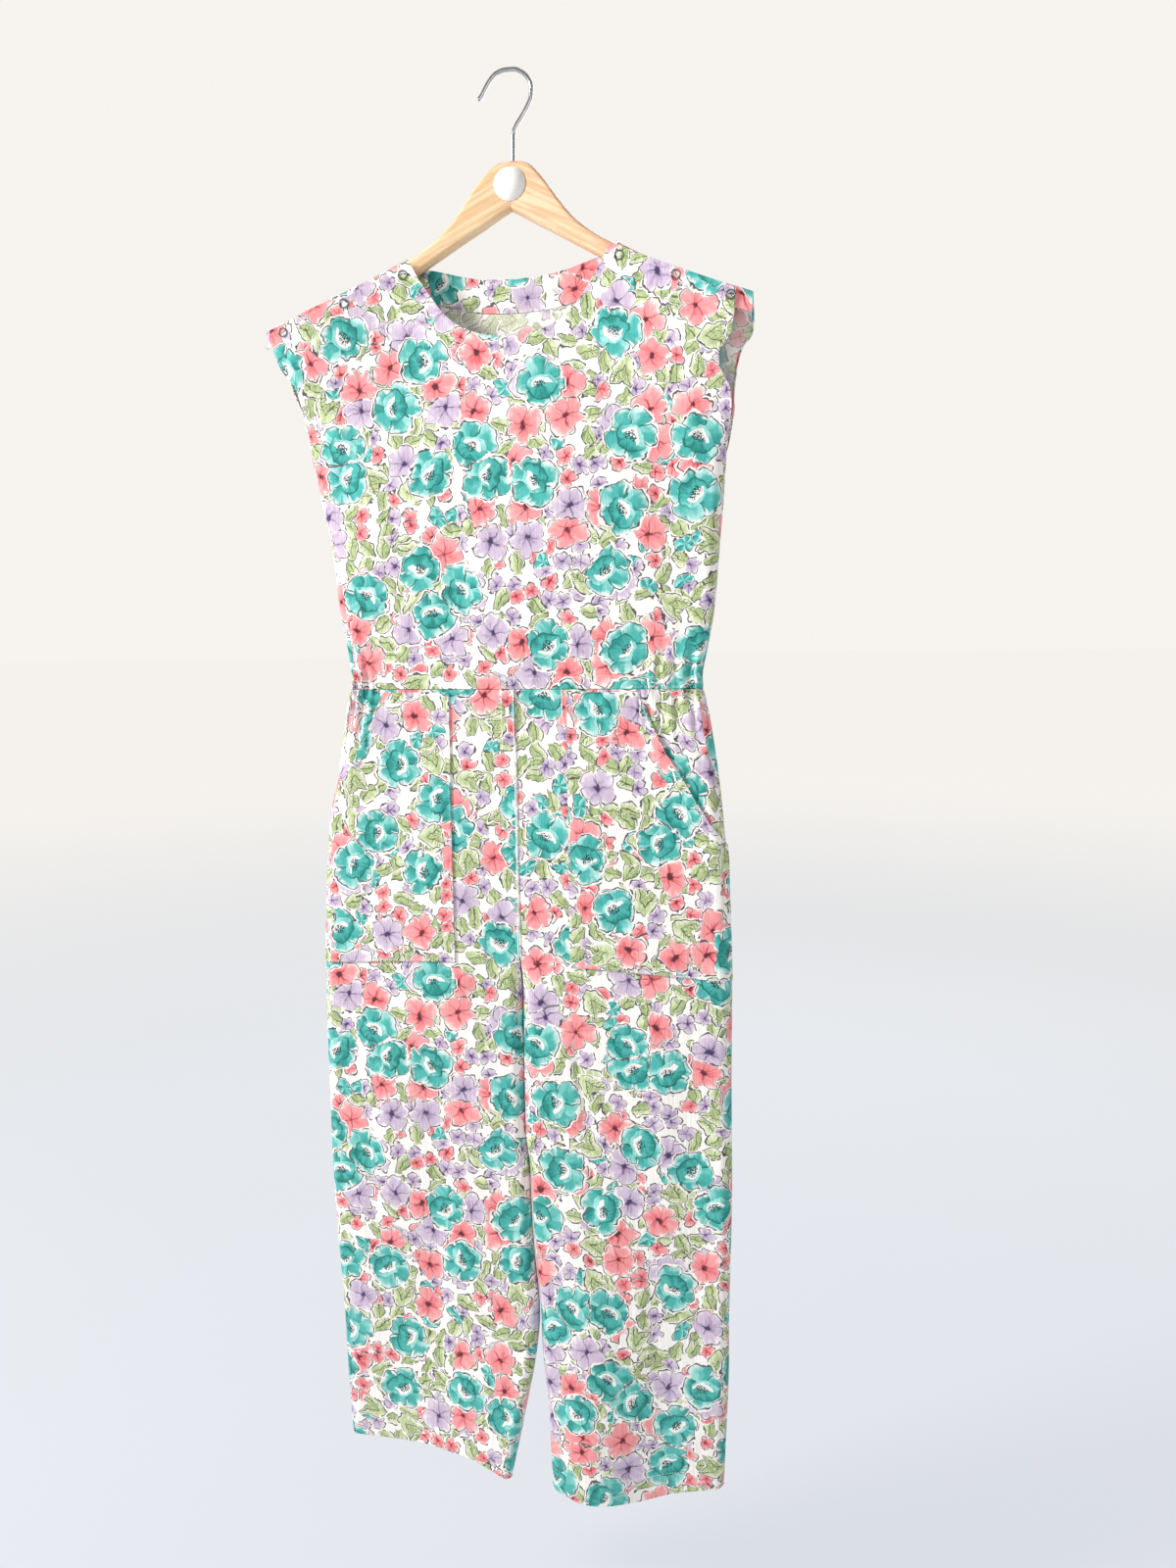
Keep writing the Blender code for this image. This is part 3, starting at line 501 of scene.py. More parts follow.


# %% [markdown]
# ## Creases
#
# Pressed cotton hangs smooth, with a few long soft folds where the shoulders, the waist and the
# knees pull on it. A simulation would add folds that the real one doesn't show, so each is laid
# one by one: a ridge or trough along a short line, uneven in width and dying out at its ends. The
# back isn't seen in the picture, and gets folds of the same kind.

# %% Soft folds, one by one
# Folds: the face, x and z of both ends, half the width, and the height or depth
CREASES = (
    ("front_bodice", -150, -330, -168, -560, 16, 1.5),
    ("front_bodice", 152, -345, 172, -570, 18, -1.6),
    ("front_bodice", -60, -430, -78, -600, 20, -1.1),
    ("front_bodice", 58, -460, 70, -604, 17, 1.3),
    ("front_bodice", 0, -300, 6, -520, 24, -0.8),
    ("front_bodice", -205, -300, -176, -395, 12, 1.8),
    ("front_bodice", 196, -330, 172, -420, 12, 1.6),
    ("front_bodice", -95, -235, -60, -330, 13, 1.0),
    ("front_bodice", 96, -226, 62, -318, 13, -1.0),
    ("back_bodice", -140, -300, -158, -560, 18, -1.7),
    ("back_bodice", 146, -320, 160, -575, 17, 1.6),
    ("back_bodice", -40, -240, -56, -470, 22, 1.2),
    ("back_bodice", 52, -250, 66, -590, 20, -1.4),
    ("back_bodice", 205, -300, 176, -400, 12, 1.6),
    ("back_bodice", -200, -300, -170, -400, 13, -1.5),
    ("front_leg_left", -50, -925, -44, -1010, 9, -1.7),
    ("front_leg_left", -150, -930, -166, -1330, 22, 1.5),
    ("front_leg_left", -96, -1010, -110, -1460, 18, -1.2),
    ("front_leg_left", -200, -1080, -192, -1440, 12, 1.0),
    ("front_leg_right", 63, -985, 74, -1130, 6, -1.9),
    ("front_leg_right", 74, -1110, 88, -1300, 8, -1.5),
    ("front_leg_right", 150, -940, 164, -1290, 21, 1.4),
    ("front_leg_right", 196, -1000, 186, -1420, 14, -1.2),
    ("front_leg_right", 122, -1180, 128, -1480, 16, 1.1),
    ("back_leg_left", -90, -700, -112, -1200, 20, 1.6),
    ("back_leg_left", -160, -760, -170, -1380, 18, -1.5),
    ("back_leg_left", -52, -980, -60, -1240, 12, 1.4),
    ("back_leg_right", 82, -720, 106, -1150, 19, -1.5),
    ("back_leg_right", 158, -740, 172, -1400, 20, 1.6),
    ("back_leg_right", 60, -1000, 66, -1300, 13, -1.4),
)
CREASE_WANDER = 3.5
CREASE_FADE = 0.3
CREASE_UNEVEN = 0.25
CREASE_STRENGTH = 1.35


def creases(face, x, z):
    """How far the soft folds of one face lift it out, in millimetres."""
    lift = np.zeros_like(x)
    for name, from_x, from_z, to_x, to_z, half_width, depth in CREASES:
        if name != face:
            continue
        length = math.hypot(to_x - from_x, to_z - from_z)
        way_x, way_z = (to_x - from_x) / length, (to_z - from_z) / length
        along = ((x - from_x) * way_x + (z - from_z) * way_z) / length
        aside = (x - from_x) * way_z - (z - from_z) * way_x
        aside = aside - CREASE_WANDER * np.sin(along * 5.1 + from_x)
        width = half_width * (1 + CREASE_UNEVEN * np.sin(along * 7.3 + from_z))
        ends = ease(along / CREASE_FADE) * ease((1 - along) / CREASE_FADE)
        lift = lift + CREASE_STRENGTH * depth * ends * np.exp(-((aside / width) ** 2))
    return lift


print("creases:", len(CREASES), "on", len({row[0] for row in CREASES}), "faces")

# %% [markdown]
# ## The bodice
#
# Each bodice panel is a patch with four edges: the neck and shoulders above, two sides and the
# level waist. Blending the four edges gives every place between them. The front lies over the
# hanger's arms and hangs free below. The back turns over the arms and tucks under the front.

# %% The bodice's surfaces
def neck_and_shoulder(share, rows, neck_z_of, tip_left, tip_right):
    """Upper edge of a bodice panel: x and z at each share of its width."""
    from_middle = np.abs(share - 0.5)
    places = [row[0] for row in rows]
    neck_x = curve(places, [row[1] for row in rows])(from_middle)
    neck_z = curve(places, [row[2] for row in rows])(from_middle)
    along = (from_middle - NECK_SHARE) / (0.5 - NECK_SHARE)
    tip = np.where(share < 0.5, tip_left, tip_right)
    shoulder_x = rows[-1][1] + (tip - rows[-1][1]) * np.clip(along, 0, 1)
    on_neck = from_middle <= NECK_SHARE
    x = np.where(on_neck, neck_x, shoulder_x) * np.sign(share - 0.5 + 1e-12)
    return x, np.where(on_neck, neck_z, neck_z_of(shoulder_x))


def bodice_z(down):
    return TIP_Z + (WAIST_Z - TIP_Z) * down


def bodice_down(z):
    return (TIP_Z - z) / (TIP_Z - WAIST_Z)


def side_z(corner_z, down):
    """Height along a side edge that starts at this corner. Below the underarm all edges agree."""
    z = bodice_z(down)
    return z + (corner_z - TIP_Z) * np.clip((z - UNDERARM_Z) / (TIP_Z - UNDERARM_Z), 0, 1)


def coons(share, down, face, top_of):
    """x and z inside a bodice panel, from its upper edge, its two sides and the level waist."""
    top_x, top_z = top_of(share)
    left_z, right_z = top_of(np.array([0.0, 1.0]))[1]
    side_left_z = side_z(left_z, down)
    side_right_z = side_z(right_z, down)
    side_left_x = SIDE[face + "_left"](side_left_z)
    side_right_x = SIDE[face + "_right"](side_right_z)
    waist_left = SIDE[face + "_left"](WAIST_Z)
    waist_right = SIDE[face + "_right"](WAIST_Z)
    waist_x = waist_left + (waist_right - waist_left) * share
    shift_left = SIDE[face + "_left"](left_z)
    shift_right = SIDE[face + "_right"](right_z)
    x = (1 - share) * side_left_x + share * side_right_x + (1 - down) * top_x + down * waist_x
    x = x - (1 - down) * ((1 - share) * shift_left + share * shift_right) - down * waist_x
    z = (1 - share) * side_left_z + share * side_right_z + (1 - down) * top_z + down * WAIST_Z
    z = z - (1 - down) * ((1 - share) * left_z + share * right_z) - down * WAIST_Z
    return x, z


def fold_back(out):
    """Depth of the back's outer face over the hanger's arm."""
    return sweep(soft_floor(out, SOFT_BACK)) + ARM_HALF + LAY_GAP + CLOTH + BACK_ROOM


def fold_under(out):
    """Depth of the back's underlap in front of the hanger's arm."""
    return sweep(np.abs(out)) - ARM_HALF - ARM_ROOM - CLOTH


def fold_radius(out):
    return (fold_back(out) - fold_under(out)) / 2


def front_top(share):
    return neck_and_shoulder(share, FRONT_NECK, FOLD["front"], *FRONT_TIPS)


def back_top(share):
    def start(out):
        return FOLD["fold"](out) - fold_radius(out)

    return neck_and_shoulder(share, BACK_NECK, start, *BACK_TIPS)


def side_roundness(z):
    """0 at the open armhole, 1 where the side seam closes the tube."""
    return ease((ROUND_FROM - z) / (ROUND_FROM - UNDERARM_Z))


def belly(x, z):
    """1 in the middle of the bodice, 0 at its sides and at the waist."""
    return (1 - (x / BELLY_HALF) ** 2) * ease((z - WAIST_Z) / BELLY_FADE)


def drape(x, z, place_x, place_z, half_width, half_height, lean, depth):
    """One soft fold: its depth forwards at x and z."""
    up = (z - place_z + lean * (x - place_x)) / half_height
    return depth * np.exp(-(up**2)) * np.exp(-(((x - place_x) / half_width) ** 2))


def rounded(y, z, first, last):
    """Pulls a face in to the side seams, from the underarm down."""
    closed = side_roundness(z)
    return SIDE_Y + (y - SIDE_Y) * (1 - closed + closed * first) * (1 - closed + closed * last)


def bodice_front(share, down):
    """The front's outer face."""
    distance, first, last = across(share, FLAT_WIDTH, HALF_DEPTH)
    flat = distance / FLAT_WIDTH
    x, z = coons(flat, down, "front", front_top)
    lower = ease((ARMS_CARRY_TO - z) / FREE_AFTER)
    over_arm = sweep(soft_floor(x, NECK_POINT)) - ARM_HALF - ARM_ROOM - 2 * CLOTH - LAY_GAP
    body = SIDE_Y - HALF_DEPTH - FRONT_BELLY * belly(x, z)
    y = over_arm * (1 - lower) + body * lower
    for fold in DRAPES:
        y = y - drape(x, z, *fold)
    y = y - gather(flat, FRONT_FOLDS["left"], z, FRONT_GATHERS["left"])
    y = y - gather(flat, FRONT_FOLDS["right"], z, FRONT_GATHERS["right"], first=False)
    return np.stack([x, rounded(y, z, first, last), z], -1)


def bodice_back(share, down):
    """The back's outer face. Less than 0 down, it turns over the hanger's arm."""
    distance, first, last = across(share, FLAT_WIDTH, HALF_DEPTH)
    flat = distance / FLAT_WIDTH
    x, z = coons(flat, np.maximum(down, 0), "back", back_top)
    lower = ease((ARMS_CARRY_TO - z) / FREE_AFTER)
    body = SIDE_Y + HALF_DEPTH + BACK_BELLY * belly(x, z)
    y = fold_back(x) * (1 - lower) + body * lower + gather(flat, BACK_FOLDS, z)
    turn = np.clip(-down / TURN_SHARE, 0, 1) * math.pi
    radius = fold_radius(x)
    hang = np.clip((-down - TURN_SHARE) / (1 - TURN_SHARE), 0, 1) * UNDERLAP
    over_y = fold_back(x) - radius * (1 - np.cos(turn))
    over_z = z + radius * np.sin(turn) - hang
    y = np.where(down < 0, over_y, rounded(y, z, first, last))
    return np.stack([x, y, np.where(down < 0, over_z, z)], -1)

# %% [markdown]
# Below the underarm the two panels are one tube, so one function walks round both. A side seam
# doesn't lie at the very edge of the tube but a little round it, and then the seam is simply
# another place on the same walk.

# %% The bodice as a tube
def bodice(panel):
    """The bodice as a tube: 0 to 1 across the front from the left, 1 to 2 across the back.

    Where the armholes are open, each panel ends at its own edge."""

    def surface(around, down):
        height = bodice_z(down)
        first, last = (0, 1) if panel == "front" else (1, 2)
        around = np.where(height > OPEN_ABOVE_Z, np.clip(around, first, last), around)
        front = np.where(height > OPEN_ABOVE_Z, panel == "front", (around <= 1) | (around > 2))
        share = np.where(around > 2, around - 2, np.where(around > 1, 2 - around, around))
        if panel == "front":
            share = np.where(height > OPEN_ABOVE_Z, around, share)
        facing = bodice_front(np.where(front, share, 0.5), np.maximum(down, 0))
        behind = bodice_back(np.where(front, 0.5, share), down)
        return np.where(front[..., None], facing, behind)

    return surface


# %% [markdown]
# ## The legs
#
# A leg is a flattened tube too. Down to the crotch its inner edge is the seam in the garment's
# middle, and below it the tube closes on itself. The hem swings forward on the inner side, the
# way a leg that hangs from one hip does.

# %% The legs' surfaces
def leg_z(down):
    return WAIST_Z + (HEM_Z - WAIST_Z) * down


def leg_down(z):
    return (z - WAIST_Z) / (HEM_Z - WAIST_Z)


def pleat_edge(past, z, length):
    """0 before a pleat's edge and 1 past it, fading out down the pleat's length."""
    return ease((z - WAIST_Z + length) / (PLEAT_FADE * length)) * ease(past / PLEAT_EDGE + 0.5)


def leg(side, around, down):
    """A leg as a tube: 0 to 1 across the front from its outer edge, 1 to 2 across the back."""
    z = leg_z(down)
    around = np.mod(around, 2)
    front = around <= 1
    share = np.where(front, around, 2 - around)
    split = ease((SPLIT_FROM - z) / SPLIT_LENGTH)
    outer = LEG[side + "_outer"](z)
    inner = LEG[side + "_inner"](z) - OUTWARD[side] * SEAM_GAP / 2
    width = (inner - outer) * OUTWARD[side]
    half = DEPTH["half"](z)
    distance, first, last = across(share, width, half)
    across_leg = distance / width
    x = outer + OUTWARD[side] * distance
    swing = across_leg**SWING_POWER
    middle = DEPTH["outer_y"](z) * (1 - swing) + DEPTH[side + "_inner_y"](z) * swing
    half = half * first * (1 - split + split * last)
    from_ridge = (across_leg - RIDGE_AT) / RIDGE_WIDTH
    ridge = DEPTH[side + "_ridge"](z) * np.exp(-(from_ridge**2)) * first * last
    folds = gather(across_leg, BACK_FOLDS / 2, z) * first * ease((1 - across_leg) * CENTRE_FADE)
    y_back = middle + half + folds
    zone = FRONT_GATHERS[side] * 2
    folds = gather(across_leg, FRONT_FOLDS[side], z, zone) * first
    y_front = middle - half - ridge - folds
    for place, length, depth in PLEATS[side]:
        past = (across_leg - place) * OUTWARD[side]
        fall = np.exp(-np.maximum(past, 0) / PLEAT_FALL)
        y_front = y_front - depth * pleat_edge(past, z, length) * fall
    droop = HEM[side](across_leg) * np.clip((z - DROOP_FROM) / (HEM_Z - DROOP_FROM), 0, 1) ** 2
    return np.stack([x, np.where(front, y_front, y_back), z - droop], -1)


def normal_of(surface, a, b):
    """Unit normals of a surface. They face out where the first parameter runs to the viewer's right
    across a front and the second runs down."""
    along_a = surface(a + STEP, b) - surface(a - STEP, b)
    along_b = surface(a, b + STEP) - surface(a, b - STEP)
    normal = np.cross(along_b, along_a)
    return normal / np.linalg.norm(normal, axis=-1, keepdims=True)


def between(surface, start, end):
    """The surface with its first parameter as a share from start(b) to end(b)."""

    def run(share, b):
        return surface(start(b) + (end(b) - start(b)) * share, b)

    return run


def seam_shares(down, wrap):
    """Where a side seam's two edges lie on the tube, from this wrap. Together at the open armhole."""
    closed = ease((OPEN_ABOVE_Z - bodice_z(down)) / ARMHOLE_CLOSES_OVER)
    front_edge = closed * share_of(wrap + SEAM_GAP / 2, FLAT_WIDTH, HALF_DEPTH)
    back_edge = closed * share_of(wrap - SEAM_GAP / 2, FLAT_WIDTH, HALF_DEPTH)
    return front_edge, back_edge


def left_wrap(down):
    return SIDE["left_wrap"](bodice_z(down))


def leg_faces(side):
    """The leg's surface over the front's share and over the back's."""

    def arc_share(arc, z):
        width = np.abs(LEG[side + "_outer"](z) - LEG[side + "_inner"](z))
        return share_of(arc, width, DEPTH["half"](z))

    def inner_gap(down):
        return arc_share(SEAM_GAP / 2, leg_z(down))

    def wrap(down, gap):
        z = leg_z(down)
        return arc_share(LEG[side + "_wrap"](z) + gap, z)

    def surface(around, down):
        return leg(side, around, down)

    front = between(surface, lambda down: wrap(down, SEAM_GAP / 2), lambda down: 1 - inner_gap(down))
    back = between(surface, lambda down: 1 + inner_gap(down), lambda down: 2 + wrap(down, -SEAM_GAP / 2))
    return front, back


# %% [markdown]
# ## Shader sums
#
# The print is drawn by shader nodes, as rings, petals and leaves around scattered middles. Such
# drawing is arithmetic on the place of a point, and hundreds of Math nodes are hard to read. The
# small class below makes the nodes from ordinary sums, so the drawing reads as formulas.

# %% Shader arithmetic
class Reading:
    """One number or vector inside a shader. A sum of two makes the node that adds them."""

    def __init__(self, tree, socket):
        self.tree = tree
        self.socket = socket

    def math(self, operation, *others):
        made = new_node(self.tree, "Math", dict(enumerate((self, *others))), operation=operation)
        return Reading(self.tree, made.outputs[0])

    def vector(self, operation, other=None):
        inputs = {0: self}
        if other is not None:
            inputs["Scale" if operation == "SCALE" else 1] = other
        made = new_node(self.tree, "VectorMath", inputs, operation=operation)
        return Reading(self.tree, made.outputs["Value" if operation == "LENGTH" else "Vector"])

    def __add__(self, other):
        return self.math("ADD", other)

    def __sub__(self, other):
        return self.math("SUBTRACT", other)

    def __mul__(self, other):
        return self.math("MULTIPLY", other)

    def __truediv__(self, other):
        return self.math("DIVIDE", other)


def linear(hexed):
    """A colour as written on a paint chart, such as 3FB5A8, in the linear values of shaders."""
    values = [int(hexed[k:k + 2], 16) / 255 for k in (0, 2, 4)]
    return tuple(v / 12.92 if v < 0.04045 else ((v + 0.055) / 1.055) ** 2.4 for v in values) + (1.0,)


def feed(tree, made, values):
    """Links each reading to its socket of a node, and sets each colour or plain value."""
    for slot, value in values.items():
        if isinstance(value, Reading):
            tree.links.new(value.socket, made.inputs[slot])
        else:
            made.inputs[slot].default_value = linear(value) if isinstance(value, str) else value


def new_node(tree, kind, inputs, **settings):
    """A shader node with its settings and inputs."""
    made = tree.nodes.new("ShaderNode" + kind)
    for name, value in settings.items():
        setattr(made, name, value)
    feed(tree, made, inputs)
    return made


def split(reading):
    """The x, y and z of a vector."""
    made = new_node(reading.tree, "SeparateXYZ", {0: reading})
    return [Reading(reading.tree, made.outputs[k]) for k in range(3)]


def joined(x, y, z=0.0):
    """A vector from three numbers, the first of them a reading."""
    return Reading(x.tree, new_node(x.tree, "CombineXYZ", {0: x, 1: y, 2: z}).outputs[0])


def rise(reading, low, high):
    """0 below low, 1 above high, with a soft step between. low may be above high."""
    first, last = (1.0, 0.0) if low > high else (0.0, 1.0)
    low, high = min(low, high), max(low, high)
    inputs = {"Value": reading, "From Min": low, "From Max": high, "To Min": first, "To Max": last}
    made = new_node(reading.tree, "MapRange", inputs, interpolation_type="SMOOTHSTEP")
    return Reading(reading.tree, made.outputs["Result"])


def paint(under, over, share, blend="MIX"):
    """Lays one colour over another, by a share from 0 to 1."""
    tree = next(value.tree for value in (share, under, over) if isinstance(value, Reading))
    made = new_node(tree, "Mix", {0: share, 6: under, 7: over}, data_type="RGBA", blend_type=blend)
    return Reading(tree, made.outputs[2])


def grain(place, scale, detail=1.0, flat=True):
    """Soft noise from 0 to 1 at a place."""
    inputs = {"Vector": place, "Scale": scale, "Detail": detail}
    return new_node(place.tree, "TexNoise", inputs, noise_dimensions="2D" if flat else "3D")


def grain_value(place, scale, detail=1.0, flat=True):
    return Reading(place.tree, grain(place, scale, detail, flat).outputs[0])


def new_group(name, inputs, outputs):
    """An empty node group with named sockets, and a reading of each input."""
    tree = bpy.data.node_groups.new(name, "ShaderNodeTree")
    for label, kind in inputs:
        tree.interface.new_socket(label, in_out="INPUT", socket_type="NodeSocket" + kind)
    for label, kind in outputs:
        tree.interface.new_socket(label, in_out="OUTPUT", socket_type="NodeSocket" + kind)
    entry = tree.nodes.new("NodeGroupInput")
    leave = tree.nodes.new("NodeGroupOutput")
    return tree, [Reading(tree, entry.outputs[label]) for label, _ in inputs], leave


print("shader sums ready, teal is", [round(v, 3) for v in linear("3FB5A8")])

# %% [markdown]
# ## The print
#
# The cotton carries a dense garden print in watercolour: teal blooms with pale cups and dark
# stamens, coral and lilac flowers of five petals, small blossoms and green leaves between them,
# and a thin broken ink line that wanders off the colour. It is drawn here from cells. Every cell
# has a middle, a random turn and a random kind, and its petals are a radius that swells and
# shrinks with the angle. Large flowers lie over a second, finer layer of leaves and blossoms.
# The drawing is a garden of its own that only follows the cloth's scale, kinds and colours.

# %% Cells and petals
BLOOM_SPACING = 76.0
FLOWER_SPACING = 45.0
SPRIG_SPACING = 18.5
INK = "37363E"
GROUND = "FCF9F5"
PETALS = 5


def scattered(place, spacing, uneven):
    """Cells over the cloth: the way from the cell's middle, three random numbers, the border's distance."""
    tree = place.tree
    inputs = {"Vector": place, "Scale": 1 / spacing, "Randomness": uneven}
    cells = new_node(tree, "TexVoronoi", inputs, voronoi_dimensions="2D")
    border = new_node(tree, "TexVoronoi", inputs, voronoi_dimensions="2D", feature="DISTANCE_TO_EDGE")
    away = place.vector("SUBTRACT", Reading(tree, cells.outputs["Position"]))
    chance = split(Reading(tree, cells.outputs["Color"]))
    return away, chance, Reading(tree, border.outputs["Distance"]) * spacing


def over(chance, limit):
    """1 in the cells whose random number is over the limit, and 0 in the rest."""
    return chance.math("GREATER_THAN", limit)


def turned(away, chance):
    """The way from the middle, turned at random in each cell."""
    inputs = {"Vector": away, "Angle": chance * (2 * math.pi)}
    return Reading(away.tree, new_node(away.tree, "VectorRotate", inputs, rotation_type="Z_AXIS").outputs[0])


def petals(away, chance):
    """For each point: distance from the middle, place across its petal, the petal's chance, and fine rays."""
    x, y, _ = split(away)
    angle = y.math("ARCTAN2", x)
    angle = angle + (angle + chance * 37.0).math("SINE") * 0.26
    around = angle * (PETALS / (2 * math.pi)) + PETALS
    which = around.math("FLOOR")
    distance = away.vector("LENGTH")
    inputs = {"Vector": joined(which.math("MODULO", float(PETALS)), chance * 97.0)}
    noise = new_node(away.tree, "TexWhiteNoise", inputs, noise_dimensions="2D")
    rays = grain_value(joined(around * 3.4, distance * 0.07, chance * 41.0), 1.0, 2.5, flat=False)
    return distance, around - which, Reading(away.tree, noise.outputs["Value"]), rays


def ink_line(edge, wander, broken):
    """A thin line that follows an edge at a wandering distance and is broken here and there."""
    off = (edge + wander).math("ABSOLUTE")
    return rise(off, 0.92, 0.40) * rise(broken, 0.33, 0.39)


def laid(under, tone, inside, wander, broken, halo):
    """Lays a shape over what is under it: a rim of bare ground, its colour, then its ink line."""
    colour = paint(under, GROUND, rise(inside, -halo - 0.5, -halo + 0.3))
    colour = paint(colour, tone, rise(inside, -0.4, 0.4))
    return paint(colour, INK, ink_line(inside, wander, broken) * 0.94)


print("cells of", BLOOM_SPACING, FLOWER_SPACING, "and", SPRIG_SPACING, "mm")

# %% [markdown]
# One bloom is drawn in layers, as a painter would: the silhouette, a wash that runs from dark to
# light across each petal, a crease where two petals meet, then the cup, its white opening and
# the stamens. Fine rays run out from the middle, as a dry brush leaves them, and the rims fade.
# The coral and lilac flowers use the same petals with deeper notches.

# %% Blooms, flowers and leaves
BLOOM_SIZE = 26.5
FLOWER_SIZE = 21.5
TEAL = ("1B8A82", "4AB5AE", "A6E4DF")
CORAL = ("E66D74", "F59DA0", "FFD3CF")
LILAC = ("AD99BA", "D2C1D8", "F3EBF4")
GREEN = ("829A62", "B8C890", "E5EDC9")


def wash(colours, amount, streak):
    """Three tones of one watercolour, from dark to pale."""
    amount = amount + (streak - 0.5) * 1.1
    dark = paint(colours[0], colours[1], rise(amount, 0.0, 0.42))
    return paint(dark, colours[2], rise(amount, 0.45, 1.0))


def teal_bloom(away, reading, speck):
    """The colour of a teal bloom, and how far inside its silhouette a point is."""
    distance, across_petal, petal_chance, rays = reading
    swell = (across_petal * math.pi).math("SINE").math("POWER", 0.5)
    radius = (swell * 0.17 + 0.83) * (petal_chance * 0.30 + 0.76) * BLOOM_SIZE
    inside = radius - distance
    out = distance / radius
    tone = wash(TEAL, across_petal * 0.75 + out * 0.25 + petal_chance * 0.2 - 0.22, rays)
    crease = across_petal * distance * (2 * math.pi / PETALS)
    tone = paint(tone, "0B645F", rise(crease, 1.5, 0.5) * rise(out, 0.3, 0.45) * 0.85)
    gap = rise(crease, 3.4, 2.3) * rise(crease, 0.9, 1.5)
    gap = gap * rise(out, 0.6, 0.85) * rise(petal_chance, 0.42, 0.5)
    tone = paint(tone, GROUND, gap)
    tone = paint(tone, "E2F5F1", rise(out, 0.80, 0.97) * rise(rays, 0.42, 0.60) * 0.9)
    x, y, _ = split(away)
    cup_x = (x - 2.5) / 15.5
    cup_y = (y + 2.0) / 12.0 + (rays - 0.5) * 0.14
    cup = (cup_x * cup_x + cup_y * cup_y).math("SQRT")
    cup_tone = wash(TEAL, cup_y * 0.5 + 0.5, rays)
    tone = paint(tone, "0E6B66", rise(cup, 1.15, 1.06) * rise(cup_y, 0.9, -0.5))
    tone = paint(tone, cup_tone, rise(cup, 1.03, 0.97))
    mouth_x = (x - 1.0) / 11.0
    mouth_y = (y + mouth_x * mouth_x * 5.0 - 3.6 + (rays - 0.5) * 5.0) / 3.6
    mouth = mouth_x * mouth_x + mouth_y * mouth_y
    tone = paint(tone, GROUND, rise(mouth, 1.12, 0.9))
    heart_y = y + 0.6
    heart = (x * x * 0.55 + heart_y * heart_y).math("SQRT")
    stamens = rise(heart, 6.0, 4.0) * rise(speck, 0.45, 0.51)
    return paint(tone, "1F3B40", stamens), inside


def five_petals(colours, vein, heart_tone, reading, size, notch):
    """The colour of a flower with five open petals, and how far inside its silhouette a point is."""
    distance, across_petal, petal_chance, rays = reading
    swell = (across_petal * math.pi).math("SINE").math("POWER", 0.42)
    radius = (swell * (1 - notch) + notch) * (petal_chance * 0.28 + 0.78) * size
    inside = radius - distance
    out = distance / radius
    tone = wash(colours, out * 0.62 + petal_chance * 0.25 - 0.08, rays)
    tone = paint(tone, GROUND, rise(out, 0.78, 0.98) * rise(rays, 0.46, 0.62) * 0.7)
    near = (across_petal - 0.5).math("ABSOLUTE") * -1.0 + 0.5
    crease = near * distance * (2 * math.pi / PETALS)
    tone = paint(tone, colours[0], rise(crease, 1.9, 0.6) * 0.6)
    line = rise(crease, 0.75, 0.3) * rise(out, 0.85, 0.6) * rise(petal_chance, 0.25, 0.29)
    tone = paint(tone, vein, line * 0.9)
    heart = rise(distance + (rays - 0.5) * 5.0, size * 0.19, size * 0.10)
    return paint(tone, heart_tone, heart), inside


def leaf(x, y, streak, length, width):
    """The colour of a leaf with dark brushed veins, and how far inside it a point is."""
    along = x / length
    aside = y.math("ABSOLUTE")
    inside = (along * along * -1.0 + 1.0) * width - aside
    tone = wash(GREEN, y / width * 0.4 + along * 0.3 + 0.55, streak)
    side = ((x - aside * 0.9 + streak * 4.0) / 3.3).math("FRACT")
    veins = rise(side, 0.34, 0.16) * rise(aside, width * 0.8, width * 0.45) * rise(along, -0.15, 0.2)
    tone = paint(tone, "4E6236", veins * 0.85)
    middle = rise(aside, 0.75, 0.25) * rise(along, -0.75, -0.6)
    return paint(tone, "475538", middle * 0.9), inside


def choose(first, second, share):
    """Takes the second of two drawn shapes where share is 1."""
    return paint(first[0], second[0], share), first[1] + (second[1] - first[1]) * share


print("blooms of", BLOOM_SIZE, "mm and flowers of", FLOWER_SIZE, "mm")

# %% [markdown]
# The print has three layers, each scattered by its own cells: small blossoms and leaves that fill
# the ground, flowers and pairs of leaves over them, and the great blooms on top.

# %% The print's three layers
OPEN_CELLS = 0.82
OUT_OF_SIGHT = 60.0


def cells_of(place, spacing, uneven):
    """Cells turned at random: the way from the middle, the kind, the border and the petals."""
    away, chance, border = scattered(place, spacing, uneven)
    away = turned(away, chance[1])
    return away, chance[0], border, petals(away, chance[1])


def sprigs(place, streak):
    """Small blossoms, leaves and buds that fill the ground."""
    away, kind, border, reading = cells_of(place, SPRIG_SPACING, 0.85)
    shape = five_petals(LILAC, "6B5788", "4A3C66", reading, 10.5, 0.5)
    coral = five_petals(CORAL, "B8434C", "6E2A34", reading, 10.0, 0.55)
    shape = choose(shape, coral, over(kind, 0.24))
    x, y, _ = split(away)
    shape = choose(shape, leaf(x, y, streak, 15.5, 6.6), over(kind, 0.45))
    bud = wash(TEAL, reading[1], reading[3])
    return paint(shape[0], bud, over(kind, 0.93)), shape[1].math("MINIMUM", border - 0.6)


